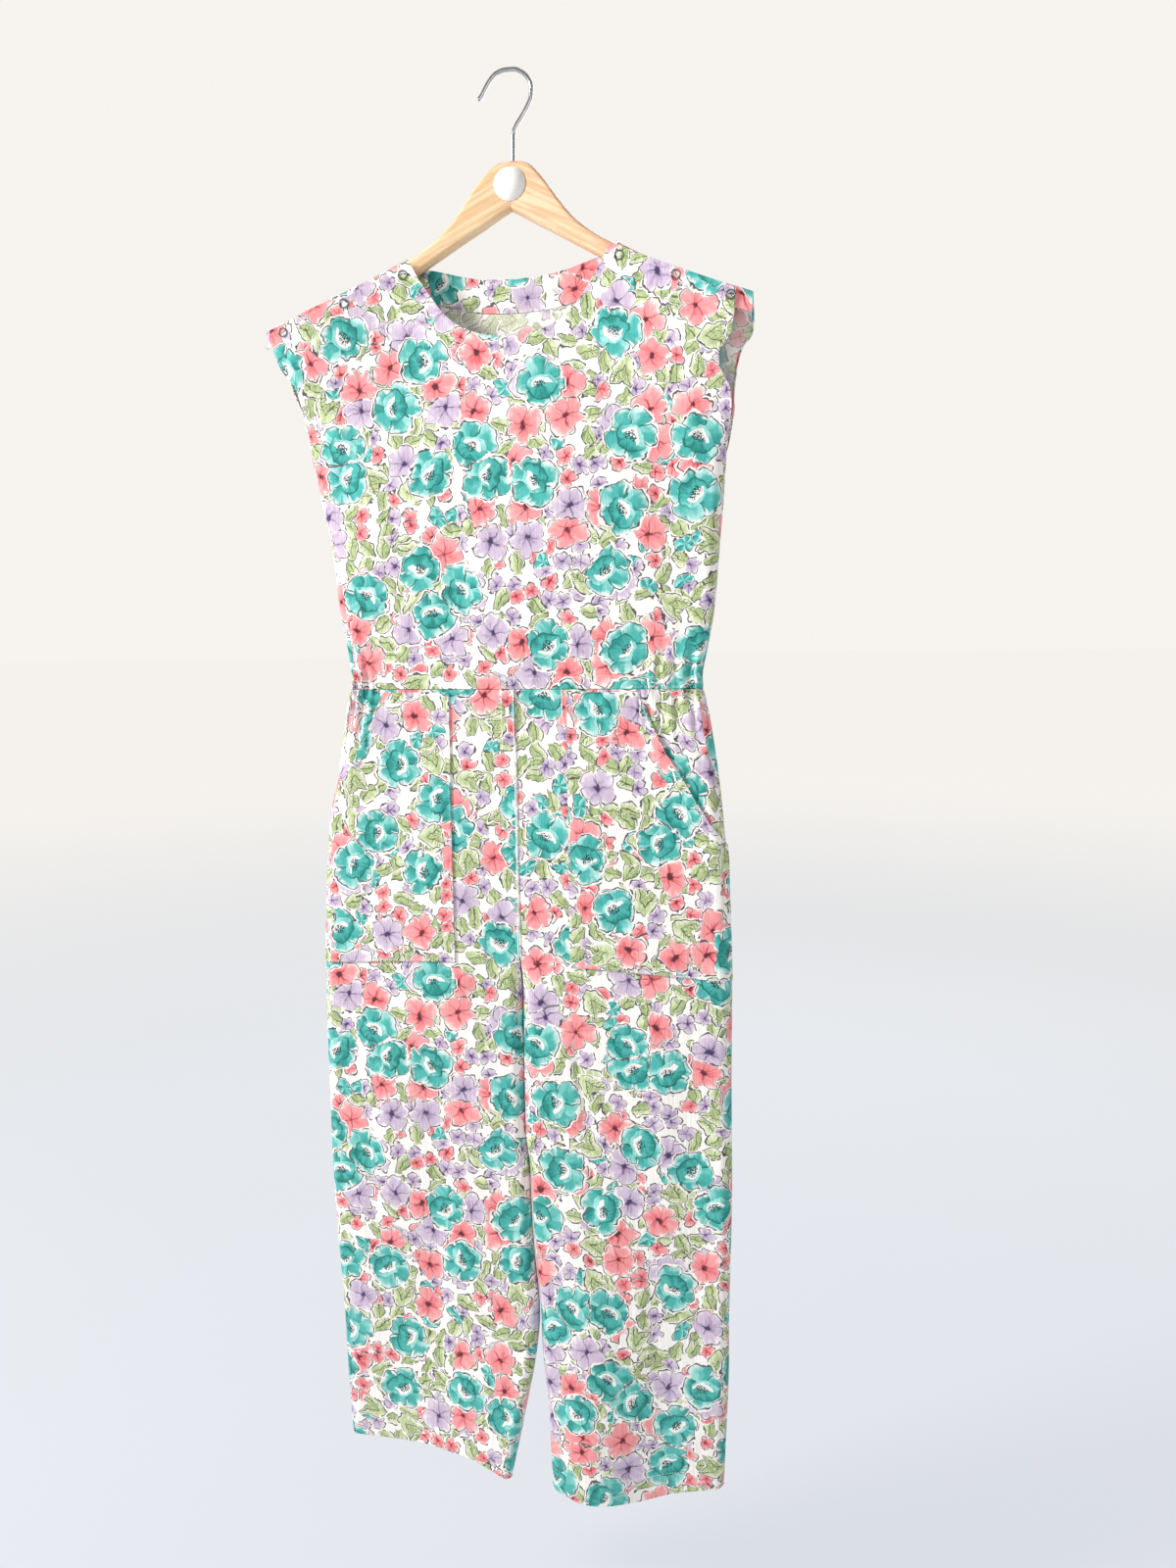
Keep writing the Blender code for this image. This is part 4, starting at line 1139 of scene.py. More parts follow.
def flowers(place, streak):
    """Coral and lilac flowers and pairs of leaves, with a few cells left open."""
    away, kind, border, reading = cells_of(place, FLOWER_SPACING, 0.8)
    coral = five_petals(CORAL, "AE3843", "5E2530", reading, FLOWER_SIZE, 0.5)
    lilac = five_petals(LILAC, "66527F", "43365C", reading, FLOWER_SIZE, 0.55)
    shape = choose(coral, lilac, over(kind, 0.39))
    x, y, _ = split(away)
    aside = y.math("ABSOLUTE")
    along = x * 0.88 + aside * 0.47
    beside = aside * 0.88 - x * 0.47 - 2.0
    shape = choose(shape, leaf(along, beside, streak, 19.0, 7.6), over(kind, 0.60))
    shown = shape[1].math("MINIMUM", border - 0.8)
    return shape[0], shown - over(kind, OPEN_CELLS) * OUT_OF_SIGHT


def blooms(place, speck):
    """The great teal blooms, also with a few cells left open."""
    away, kind, border, reading = cells_of(place, BLOOM_SPACING, 0.85)
    tone, inside = teal_bloom(away, reading, speck)
    return tone, inside.math("MINIMUM", border - 1.0) - over(kind, OPEN_CELLS) * OUT_OF_SIGHT


print("layers ready")

# %% [markdown]
# The group reads the cloth's own map, in metres along the thread, so the flowers keep their size
# and bend with the folds. A little noise bends every outline first, as a brush would.

# %% The garden print group
def garden_print():
    """The whole print as one group: its colour, and the slub of the yarn as a height."""
    outputs = (("Color", "Color"), ("Slub", "Float"))
    tree, (cloth,), leave = new_group("garden_print", (("Cloth", "Vector"),), outputs)
    place = cloth.vector("SCALE", 1000.0)
    wobble = Reading(tree, grain(place, 0.075, 2.0).outputs["Color"])
    centred = wobble.vector("SUBTRACT", (0.5, 0.5, 0.5))
    drawn = place.vector("ADD", centred.vector("SCALE", 9.0))
    streak = grain_value(drawn.vector("MULTIPLY", (1.0, 0.45, 1.0)), 0.34, 2.5)
    speck = grain_value(place, 0.62, 1.0)
    broken = grain_value(place, 0.11, 1.0)
    wander = grain_value(place, 0.085, 1.0) * 3.6 - 0.9

    colour = GROUND
    for draw, noise, halo in ((sprigs, streak, 0.4), (flowers, streak, 2.5), (blooms, speck, 2.9)):
        tone, inside = draw(drawn, noise)
        colour = laid(colour, tone, inside, wander, broken, halo)

    slub = grain_value(place.vector("MULTIPLY", (1.0, 0.035, 1.0)), 0.9, 2.0)
    pale = paint("E9E7E6", "FFFFFF", rise(slub, 0.25, 0.75))
    feed(tree, leave, {"Color": paint(colour, pale, 1.0, "MULTIPLY"), "Slub": slub})
    return tree


GARDEN = garden_print()
print("print nodes:", len(GARDEN.nodes))

# %% [markdown]
# ## Finishes
#
# Cotton hardly shines: it is rough, with a faint sheen where its fibres catch the light. Its
# wrong side shows the print only as a pale ghost, so the inner face of each sheet has a finish
# of its own. The bump comes from the slub, the thicker stretches of yarn that run down the cloth.

# %% Cotton finishes
MAP_NAME = "cloth"
BUMP_STRENGTH = 0.6


def new_material(name):
    """A material with its node tree and its shader."""
    made = bpy.data.materials.new(name)
    made.use_nodes = True
    tree = made.node_tree
    return made, tree, tree.nodes["Principled BSDF"]


def bumped(tree, shader, height, distance):
    """Lets a height raise the finish by this distance, in metres."""
    bump = new_node(tree, "Bump", {"Strength": BUMP_STRENGTH, "Distance": distance, "Height": height})
    feed(tree, shader, {"Normal": Reading(tree, bump.outputs["Normal"])})


def object_place(tree):
    """The place of a point on its own object, in metres."""
    return Reading(tree, new_node(tree, "TexCoord", {}).outputs["Object"])


def mottled(name, tones, step, rough, rough_range, scale, detail, stretch=None, metallic=0.0, bump=0.0):
    """Two tones mixed by fine noise, which also makes the finish more or less rough."""
    made, tree, shader = new_material(name)
    place = object_place(tree)
    if stretch:
        place = place.vector("MULTIPLY", stretch)
    noise = grain_value(place, scale, detail, flat=False)
    colour = paint(*tones, rise(noise, *step))
    feed(tree, shader, {"Base Color": colour, "Roughness": noise * rough_range + rough, "Metallic": metallic})
    if bump:
        bumped(tree, shader, noise, bump)
    return made


def cotton(name, ghost):
    """The printed cloth. ghost is how far the print is faded, as on the wrong side."""
    made, tree, shader = new_material(name)
    cloth_map = new_node(tree, "UVMap", {}, uv_map=MAP_NAME)
    group = new_node(tree, "Group", {"Cloth": Reading(tree, cloth_map.outputs["UV"])}, node_tree=GARDEN)
    colour = Reading(tree, group.outputs["Color"])
    slub = Reading(tree, group.outputs["Slub"])
    if ghost:
        colour = paint(colour, "F6F1EC", ghost)
    feed(tree, shader, {"Base Color": colour, "Roughness": rise(slub, 0.0, 1.0) * 0.12 + 0.78})
    feed(tree, shader, {"Sheen Weight": 0.15, "Sheen Roughness": 0.6, "Specular IOR Level": 0.25})
    bumped(tree, shader, slub, 0.00012)
    return made


PRINTED = cotton("printed_cotton_cloth", 0.0)
WRONG_SIDE = cotton("printed_cotton_wrong_side", 0.36)

# Matt white sewing thread, twisted, so each stitch is a little uneven
THREAD = mottled(
    "sewing_thread", ("DDD9D4", "F8F6F3"), (0.3, 0.7), rough=0.6, rough_range=0.2, scale=900.0, detail=1.0
)
print("cotton finishes:", PRINTED.name, WRONG_SIDE.name, THREAD.name)

# %% [markdown]
# ## Laying a sheet
#
# A panel starts as one flat grid, as cloth does. Each point of the grid is moved to its place on
# the panel's surface, which keeps the grid's order, and a Solidify modifier gives it the
# thickness of cotton inwards. Every edge is turned under and runs back on the inside, as a
# seam allowance does, so edges and seams are round and let no light through. The map for the
# print is the length of cloth walked from an upright column and a level row, so it neither
# stretches nor leans where an edge is slanted.

# %% A sheet of cloth
# Turned edges: distance back from the edge, and depth under the outer face
TURNED_EDGE = ((0.0, 0.12), (0.0, 1.0), (1.2, 1.9), (8.0, 1.9))
TURNED_HEM = ((0.0, 0.12), (0.0, 1.0), (1.2, 1.9), (11.0, 1.9), (22.0, 1.9))
THICKNESS = 0.85
CRISP = 0.5


def even(first, last, step):
    """Places from first to last, about a step apart."""
    count = max(2, round(abs(last - first) / step) + 1)
    return list(np.linspace(first, last, count))


def with_turns(places, length, before=TURNED_EDGE, after=TURNED_EDGE):
    """Shares along a panel of this length, and how deep the cloth lies there. Close rows keep its
    turned edges crisp."""
    shares = [places[0] + back / length for back, _ in reversed(before)]
    depths = [deep for _, deep in reversed(before)]
    crisp = CRISP / length
    places = [places[0], places[0] + crisp, *places[1:-1], places[-1] - crisp, places[-1]]
    shares += places + [places[-1] - back / length for back, _ in after]
    depths += [0.0] * len(places) + [deep for _, deep in after]
    return np.array(shares), np.array(depths)


def steps_along(points, axis, plane):
    """The length of cloth walked along one axis of the grid, without the coordinate left out."""
    steps = np.hypot(*[np.diff(points[..., k], axis=axis) for k in plane])
    start = np.zeros_like(np.take(points[..., 0], [0], axis=axis))
    return np.concatenate([start, np.cumsum(steps, axis=axis)], axis=axis)


def cloth_place(points, outward):
    """Each point's place on the flat cloth, from the most upright column and the most level row."""
    walked = steps_along(points, 1, (0, 1)) * outward
    risen = -steps_along(points, 0, (2, 1))
    upright = int(np.argmin(np.ptp(points[..., 0], axis=0)))
    level = int(np.argmin(np.ptp(points[..., 2], axis=1)))
    seen_from = outward * np.sign(np.mean(points[:, -1, 0] - points[:, 0, 0]))
    first = slice(upright, upright + 1)
    start = slice(level, level + 1)
    cloth_x = seen_from * points[:, first, 0] + walked - walked[:, first]
    cloth_z = points[start, :, 2] + risen - risen[start]
    return np.stack([cloth_x, cloth_z], -1)


def lay_sheet(
    name, surface, columns, rows, outward, print_from, keep=None, thickness=THICKNESS, hidden=None
):
    """A finished panel. columns and rows are shares with their depths, and print_from places the
    print. keep says which faces stay, and hidden how much cloth is folded away before a point."""
    shares, share_depths = columns
    downs, down_depths = rows
    across_count, down_count = len(shares) - 1, len(downs) - 1
    grid_a, grid_b = np.meshgrid(shares, downs)
    depth = np.maximum(*np.meshgrid(share_depths, down_depths))
    points = surface(grid_a, grid_b) - outward * depth[..., None] * normal_of(surface, grid_a, grid_b)
    flat = cloth_place(points, outward)
    if hidden:
        flat[..., 0] += hidden(points)
    flat = (flat * MM + print_from).reshape(-1, 2)
    bm = bmesh.new()
    bmesh.ops.create_grid(bm, x_segments=across_count, y_segments=down_count, size=0.5)
    place = bm.verts.layers.int.new("place")
    for vert in bm.verts:
        column = round((vert.co.x + 0.5) * across_count)
        vert[place] = round((vert.co.y + 0.5) * down_count) * len(shares) + column
    if keep:
        lost = []
        for face in bm.faces:
            centre = face.calc_center_median()
            share = np.interp((centre.x + 0.5) * across_count, range(len(shares)), shares)
            down = np.interp((centre.y + 0.5) * down_count, range(len(downs)), downs)
            if not keep(share, down):
                lost.append(face)
        bmesh.ops.delete(bm, geom=lost, context="FACES")
    moved = points.reshape(-1, 3) * MM
    cloth_map = bm.loops.layers.uv.new(MAP_NAME)
    for vert in bm.verts:
        vert.co = moved[vert[place]]
    for face in bm.faces:
        for loop in face.loops:
            loop[cloth_map].uv = flat[loop.vert[place]]
    if outward > 0:
        bmesh.ops.reverse_faces(bm, faces=bm.faces)
    made = finished(name, bm, (PRINTED, WRONG_SIDE))
    wall = made.modifiers.new("cotton", "SOLIDIFY")
    wall.thickness = thickness * MM
    wall.offset = -1
    wall.material_offset = 1
    return made


def finished(name, bm, materials, smooth=180):
    """Turns a bmesh into a named piece with its finishes."""
    mesh = bpy.data.meshes.new(name)
    bm.to_mesh(mesh)
    bm.free()
    mesh.shade_smooth()
    if smooth < 180:
        mesh.set_sharp_from_angle(angle=math.radians(smooth))
    for finish in materials:
        mesh.materials.append(finish)
    return placed(name, mesh)


print("turned edge:", TURNED_EDGE[-1][0], "mm, hem:", TURNED_HEM[-1][0], "mm")

# %% [markdown]
# ## Relief of the cloth
#
# The folds, the elastic's small puckers and the dents that a row of sewing pulls into cotton are
# all heights over the smooth surface. They are added up here, once for each face, so the pockets
# and the stitches, which lie on the same surface, follow them.

# %% Folds, puckers and sewing dents on a face
CASING_Z = -608.0
DENT_WIDTH = 1.7
DENT_DEPTH = 0.45
WAIST_DENT = 0.2
WAIST_DENT_WIDTH = 2.2
HEM_STITCH = 22.0

# Stretches of the waist that the elastic gathers, and its puckers: pitch, height and start
ELASTIC = {"front": ((-206.0, -152.0), (124.0, 216.0)), "back": ((-216.0, 216.0),)}
ELASTIC_FADE = 14.0
PUCKERS = ((9.6, 2.7, 0.3), (6.3, 1.2, 1.9))
PUCKER_LEVEL = 0.85
PUCKER_ABOVE = 22.0
PUCKER_BELOW = 34.0
PUCKER_WANDER = 1.5

# Waves over all the cloth: turns along x and along z, start and height
SOFT_WAVES = ((0.031, 0.017, 0.4, 0.35), (0.047, -0.011, 2.2, 0.25), (0.012, 0.026, 4.0, 0.45))


def puckers(face, x, z):
    """The small uneven folds that the elastic pulls: round ridges with narrow troughs between them."""
    part = "front" if face.startswith("front") else "back"
    strength = np.zeros_like(x)
    for left, right in ELASTIC[part]:
        gathered = ease((x - left) / ELASTIC_FADE) * ease((right - x) / ELASTIC_FADE)
        strength = np.maximum(strength, gathered)
    away = z - WAIST_Z
    reach = np.exp(-((away / np.where(away > 0, PUCKER_ABOVE, PUCKER_BELOW)) ** 2))
    place = x + PUCKER_WANDER * (np.sin(x * 0.23 + 1.3) + 0.6 * np.sin(away * 0.11 + x * 0.4))
    lift = np.zeros_like(x)
    for pitch, height, start in PUCKERS:
        ridge = np.abs(np.sin(math.pi * place / pitch + start))
        lift = lift + height * (ridge**0.5 - PUCKER_LEVEL)
    return strength * reach * lift


def sewing_dents(face, z):
    """Dents along the casing's row of stitches and along the waist's seam."""
    dent = -DENT_DEPTH * np.exp(-(((z - CASING_Z) / DENT_WIDTH) ** 2))
    waist = -WAIST_DENT * np.exp(-(((z - WAIST_Z) / WAIST_DENT_WIDTH) ** 2))
    return (dent + waist) if "bodice" in face else waist


def soft_waves(x, z):
    """The slight unevenness of hanging cotton."""
    return sum(height * np.sin(fx * x + fz * z + start) for fx, fz, start, height in SOFT_WAVES)


def dressed(face, surface, outward, top=-1.0):
    """A surface with the relief of its face laid on it. top is where the surface starts."""

    def at(a, b):
        points = surface(a, b)
        x, z = points[..., 0], points[..., 2]
        lift = creases(face, x, z) + puckers(face, x, z) + sewing_dents(face, z) + soft_waves(x, z)
        inside_a = np.clip(a, 2 * STEP, 1 - 2 * STEP)
        inside_b = np.maximum(b, top + 2 * STEP)
        return points + (outward * lift)[..., None] * normal_of(surface, inside_a, inside_b)

    return at


print("relief: casing stitches at", CASING_Z, "mm")

# %% [markdown]
# ## The panels
#
# The front and the back bodice first. The back's upper rows turn over the hanger's arms, all but
# the stretch of the neck, whose faces are left out of the grid.

# %% The two bodice panels
PRINT_FROM = {
    "front_bodice": (0.131, 0.222),
    "back_bodice": (0.517, 0.094),
    "back_neck_facing": (0.883, 0.241),
    "front_leg_left": (0.262, 0.853),
    "front_leg_right": (1.207, 0.781),
    "back_leg_left": (1.663, 0.327),
    "back_leg_right": (2.119, 0.592),
    "pocket_left": (2.641, 0.183),
    "pocket_right": (3.127, 0.377),
}
STEP_ACROSS = 2.7
STEP_GATHERED = 1.3
STEP_BACK = 2.0
STEP_DOWN = 3.0
BODICE_WIDTH = 430.0
BODICE_HEIGHT = 377.0
FRONT_GATHERED = ((0, 0.1), (0.83, 1))


def dense(places, near, reach, step):
    """Adds closer places round a line of sewing."""
    kept = [p for p in places if abs(p - near) > reach]
    return sorted(kept + list(np.linspace(near - reach, near + reach, round(2 * reach / step) + 1)))


def finer(places, zones, step):
    """Closer places in the zones that the elastic gathers."""
    kept = [p for p in places if not any(first <= p <= last for first, last in zones)]
    return sorted(kept + [p for first, last in zones for p in even(first, last, step)])


def bodice_rows():
    heights = dense(even(TIP_Z, WAIST_Z + 0.2, STEP_DOWN), CASING_Z, 4.5, 1.0)
    heights = sorted(heights, reverse=True)
    return [bodice_down(z) for z in heights]


def front_bodice_surface():
    return between(
        bodice("front"),
        lambda down: seam_shares(down, left_wrap(down))[0],
        lambda down: 1 - seam_shares(down, 0)[0],
    )


def back_bodice_surface():
    return between(
        bodice("back"),
        lambda down: 1 - seam_shares(down, 0)[1],
        lambda down: 2 + seam_shares(down, left_wrap(down))[1],
    )


def clear_of_neck(share, down):
    return down > 0 or abs(share - 0.5) > NECK_SHARE


BODICE_FRONT = dressed("front_bodice", front_bodice_surface(), 1, top=0.0)
BODICE_BACK = dressed("back_bodice", back_bodice_surface(), 1)
front_shares = even(0, 1, STEP_ACROSS / BODICE_WIDTH)
front_shares = finer(front_shares, FRONT_GATHERED, STEP_GATHERED / BODICE_WIDTH)
front_columns = with_turns(front_shares, BODICE_WIDTH)
back_columns = with_turns(even(0, 1, STEP_BACK / BODICE_WIDTH), BODICE_WIDTH)
front_bodice = lay_sheet(
    "front_bodice_cloth", BODICE_FRONT, front_columns, with_turns(bodice_rows(), BODICE_HEIGHT), 1,
    PRINT_FROM["front_bodice"],
)
over_arm = [-1.0, -0.9, -0.8, -0.7] + [-TURN_SHARE * k / 12 for k in range(12, 0, -1)]
back_rows = with_turns(over_arm + bodice_rows(), BODICE_HEIGHT, before=())
back_bodice = lay_sheet(
    "back_bodice_cloth", BODICE_BACK, back_columns, back_rows, 1, PRINT_FROM["back_bodice"], clear_of_neck
)
print("bodice faces:", len(front_bodice.data.polygons), len(back_bodice.data.polygons))

# %% [markdown]
# A band of the same cotton finishes the back of the neck on the inside. It shows through the
# neck opening, with its own bit of the print.

# %% The back neck's facing
FACING_FROM = 0.31
FACING_TO = 0.69
FACING_INSET = 1.1


def facing_surface(share, down):
    """The inner side of the back, seen as a surface whose outer side looks into the garment."""
    surface = bodice("back")
    return surface(1 + share, down) - FACING_INSET * normal_of(surface, 1 + share, down)


facing_columns = with_turns(even(FACING_FROM, FACING_TO, 0.0062), BODICE_WIDTH)
facing_rows = with_turns(even(0.001, FACING_DEPTH, 0.006), BODICE_HEIGHT, (), ())
neck_facing = lay_sheet(
    "back_neck_facing_cloth", facing_surface, facing_columns, facing_rows, 1, PRINT_FROM["back_neck_facing"]
)
neck_facing.modifiers["cotton"].material_offset = 0
print("facing faces:", len(neck_facing.data.polygons))

# %% [markdown]
# ## The legs
#
# Four panels on the two leg surfaces. Closer rows lie at the waist, where the gathers are, and
# at the hem, where the cloth turns up on the inside for a good two centimetres.

# %% The four leg panels
LEG_LENGTH = 884.0
LEG_WIDTH = 230.0
GATHERED_SHARE = {"left": 0.2, "right": 0.38}
FINE_TO_Z = -720.0
FINE_FROM_Z = HEM_Z + 30.0
STEP_WAIST = 2.6
STEP_LEG = 4.2
STEP_HEM = 2.2


def leg_heights():
    upper = even(WAIST_Z - 0.2, FINE_TO_Z, STEP_WAIST)
    lower = even(FINE_TO_Z - 3.5, FINE_FROM_Z, STEP_LEG)
    hem = even(FINE_FROM_Z - 2, HEM_Z, STEP_HEM)
    return [leg_down(z) for z in upper + lower + hem]


def share_of_x(surface, x, down):
    """The share across a panel where it has this x, at this place down."""
    shares = np.linspace(0, 1, 2001)
    points = surface(shares, np.full_like(shares, down))
    return float(shares[np.argmin(np.abs(points[:, 0] - x))])


def leg_columns(side, face):
    """Shares across a leg, closer where the elastic gathers it and where a front's pressed pleats step."""
    shares = even(0, 1, (STEP_BACK if face == "back" else STEP_ACROSS) / LEG_WIDTH)
    if face == "front":
        shares = finer(shares, ((0, GATHERED_SHARE[side]),), STEP_GATHERED / LEG_WIDTH)
        for place, _, _ in PLEATS[side]:
            x = float(LEG[side + "_outer"](WAIST_Z - PLEAT_SEEN)) * (1 - place)
            share = share_of_x(LEG_FRONTS[side], x, PLEAT_SEEN / LEG_LENGTH)
            shares = dense(shares, share, 0.018, 0.004)
    return shares


# Pleats: where below the waist they are looked up, the cloth they take, and how far their effect
# on the print reaches over a leg's width
PLEAT_SEEN = 20.0
PLEAT_TAKE = 9.0
PLEAT_SETTLE = 70.0
PLEAT_WIDTH = 200.0


def folded_away(side):
    """How much cloth each pleat hides, so the print jumps across it and settles beyond."""

    def at(points):
        x, z = points[..., 0], points[..., 2]
        outer = LEG[side + "_outer"](z)
        place_across = (x - outer) / (LEG[side + "_inner"](z) - outer)
        taken = np.zeros_like(x)
        for place, length, _ in PLEATS[side]:
            past = (place_across - place) * OUTWARD[side]
            settled = np.exp(-np.maximum(past, 0) * PLEAT_WIDTH / PLEAT_SETTLE)
            taken += PLEAT_TAKE * pleat_edge(past, z, length) * settled
        return taken

    return at


leg_rows = with_turns(leg_heights(), LEG_LENGTH, after=TURNED_HEM)
LEG_FRONTS = {}
LEG_BACKS = {}
leg_panels = {}
for side in ("left", "right"):
    front, back = leg_faces(side)
    outward = OUTWARD[side]
    LEG_FRONTS[side] = dressed("front_leg_" + side, front, outward)
    LEG_BACKS[side] = dressed("back_leg_" + side, back, outward)
    for face, surface in (("front", LEG_FRONTS[side]), ("back", LEG_BACKS[side])):
        node = f"{face}_leg_{side}"
        columns = with_turns(leg_columns(side, face), LEG_WIDTH)
        leg_panels[node] = lay_sheet(
            node + "_cloth", surface, columns, leg_rows, outward, PRINT_FROM[node],
            hidden=folded_away(side) if face == "front" else None,
        )
print("leg faces:", {name: len(panel.data.polygons) for name, panel in leg_panels.items()})

# %% [markdown]
# ## The pockets
#
# Each front leg carries a patch pocket whose print doesn't match the leg's. It runs out to the
# side seam, its top corner is caught in the waist, and its slanted mouth stands a little open.

# %% The two patch pockets
POCKET_LIFT = 1.75
POCKET_LENGTH = 294.0
TURNED_POCKET = ((0.0, 0.4), (0.0, 1.0), (1.0, 1.5), (7.0, 1.5))
POCKET_THICKNESS = 0.6
POCKET_GATHERED = ((POCKET_SEAM, 0.19),)


def pocket_places(side):
    """The way to find a share of the front leg, the shares of a pocket's corner and inner edge, and
    the height where its mouth ends."""
    inner_x, mouth_x, mouth_end = POCKETS[side]

    def share_at(x, z):
        outer = np.abs(LEG[side + "_outer"](z))
        half = DEPTH["half"](z)
        first = share_of(LEG[side + "_wrap"](z) + SEAM_GAP / 2, outer, half)
        place = share_of(outer - x + half * (math.pi / 2 - 1), outer, half)
        return (place - first) / (1 - first)

    return share_at, float(share_at(mouth_x, POCKET_TOP_Z)), float(share_at(inner_x, POCKET_TOP_Z)), mouth_end


def pocket_surface(side):
    """The pocket's outer face over the leg's share and its own height, 0 at its lower edge."""
    inner_x = POCKETS[side][0]
    share_at, corner, edge, mouth_end = pocket_places(side)
    front = LEG_FRONTS[side]
    outward = OUTWARD[side]

    def at(share, down):
        height = 1 - down
        mouth = np.clip((corner - share) / corner, 0, 1)
        top = POCKET_TOP_Z + (mouth_end - POCKET_TOP_Z) * mouth
        bottom = POCKET_BOTTOM_Z - POCKET_SLANT * (edge - share) / edge
        z = bottom + (top - bottom) * height
        place = share + (share_at(inner_x, z) - edge) * ease((share - edge + 0.15) / 0.15)
        at_down = leg_down(z)
        lift = POCKET_LIFT + MOUTH_LIFT * ease(mouth * 3) * ease(height * 3 - 2)
        return front(place, at_down) + outward * lift[..., None] * normal_of(front, place, at_down)

    return at


pockets = {}
for side in ("left", "right"):
    _, corner, edge, _ = pocket_places(side)
    shares = even(POCKET_SEAM, edge, STEP_ACROSS / LEG_WIDTH)
    shares = finer(shares, POCKET_GATHERED, STEP_GATHERED / LEG_WIDTH)
    shares = dense(shares, corner, 0.004, 0.004)
    columns = with_turns(shares, LEG_WIDTH, TURNED_POCKET, TURNED_POCKET)
    rows = with_turns(even(0, 1, STEP_DOWN / POCKET_LENGTH), POCKET_LENGTH, TURNED_POCKET, TURNED_POCKET)
    pockets[side] = lay_sheet(
        f"pocket_{side}_cloth", pocket_surface(side), columns, rows, OUTWARD[side],
        PRINT_FROM["pocket_" + side], thickness=POCKET_THICKNESS,
    )
print("pocket faces:", {side: len(piece.data.polygons) for side, piece in pockets.items()})

# %% [markdown]
# ## Sewing
#
# At arm's length sewing shows as a faint dotted line a little inside each edge. Each stitch is a
# small flattened bead of thread, and a row is laid between two places on the panel's surface, so
# it follows the folds. The stitches of one panel are one mesh.

# %% Rows of stitches
STITCH_PITCH = 2.9
STITCH_HALF = (1.05, 0.3, 0.2)
STITCH_LIFT = 0.02
STITCH_REACH = 0.6


def sew(bm, surface, outward, path):
    """Sews along a path of (share, down) places on a surface."""
    path = np.array(path, float)
    legs = np.linspace(0, len(path) - 1, 240 * (len(path) - 1) + 1)
    a = np.interp(legs, range(len(path)), path[:, 0])
    b = np.interp(legs, range(len(path)), path[:, 1])
    points = surface(a, b)
    walked = np.concatenate([[0], np.cumsum(np.linalg.norm(np.diff(points, axis=0), axis=1))])
    count = max(1, int(walked[-1] / STITCH_PITCH))
    at = (np.arange(count) + 0.5) * walked[-1] / count
    a, b = np.interp(at, walked, a), np.interp(at, walked, b)
    ahead = np.stack([np.interp(at + STITCH_REACH, walked, points[:, k]) for k in range(3)], -1)
    behind = np.stack([np.interp(at - STITCH_REACH, walked, points[:, k]) for k in range(3)], -1)
    centres = surface(a, b)
    normals = outward * normal_of(surface, a, b)
    for centre, normal, forward in zip(centres, normals, ahead - behind):
        forward = forward - normal * (forward @ normal)
        forward = forward / np.linalg.norm(forward)
        aside = np.cross(normal, forward)
        frame_of = Matrix([[*row] for row in np.stack([forward, aside, normal], 1) * STITCH_HALF])
        middle = Vector((centre + STITCH_LIFT * normal) * MM)
        place = Matrix.Translation(middle) @ (frame_of * MM).to_4x4()
        place[3][3] = 1.0
        bmesh.ops.create_icosphere(bm, subdivisions=1, radius=1.0, matrix=place)


def stitches(name, rows):
    """One mesh of stitches. rows holds a surface, its outward sign and a path for each row."""
    bm = bmesh.new()
    for surface, outward, path in rows:
        sew(bm, surface, outward, path)
    bmesh.ops.recalc_face_normals(bm, faces=bm.faces)
    return finished(name, bm, (THREAD,))


NECK_STITCH = 5.0 / BODICE_HEIGHT
EDGE_STITCH = 8.0 / BODICE_WIDTH
POCKET_STITCH = 2.2
MOUTH_DOWN = 0.022
FOOT_DOWN = 0.992
CASING = bodice_down(CASING_Z)
ARM_END_DOWN = bodice_down(-390.0)


def across_at(down, first=0.004, last=0.996, count=24):
    return [(share, down) for share in np.linspace(first, last, count)]


def armholes():
    """Rows down both open armholes, a little inside the edge."""
    downs = np.linspace(0.02, ARM_END_DOWN, 12)
    return [[(EDGE_STITCH, down) for down in downs], [(1 - EDGE_STITCH, down) for down in downs]]


# The stitched box: left, right, top and bottom
ELASTIC_END = (115.0, 136.0, -597.5, -618.0)


def elastic_end():
    """The small stitched box that holds the end of the elastic."""
    left, right, top, bottom = ELASTIC_END
    corners = ((left, top), (right, top), (right, bottom), (left, bottom), (left, top))
    return [(share_of_x(BODICE_FRONT, x, bodice_down(z)), bodice_down(z)) for x, z in corners]


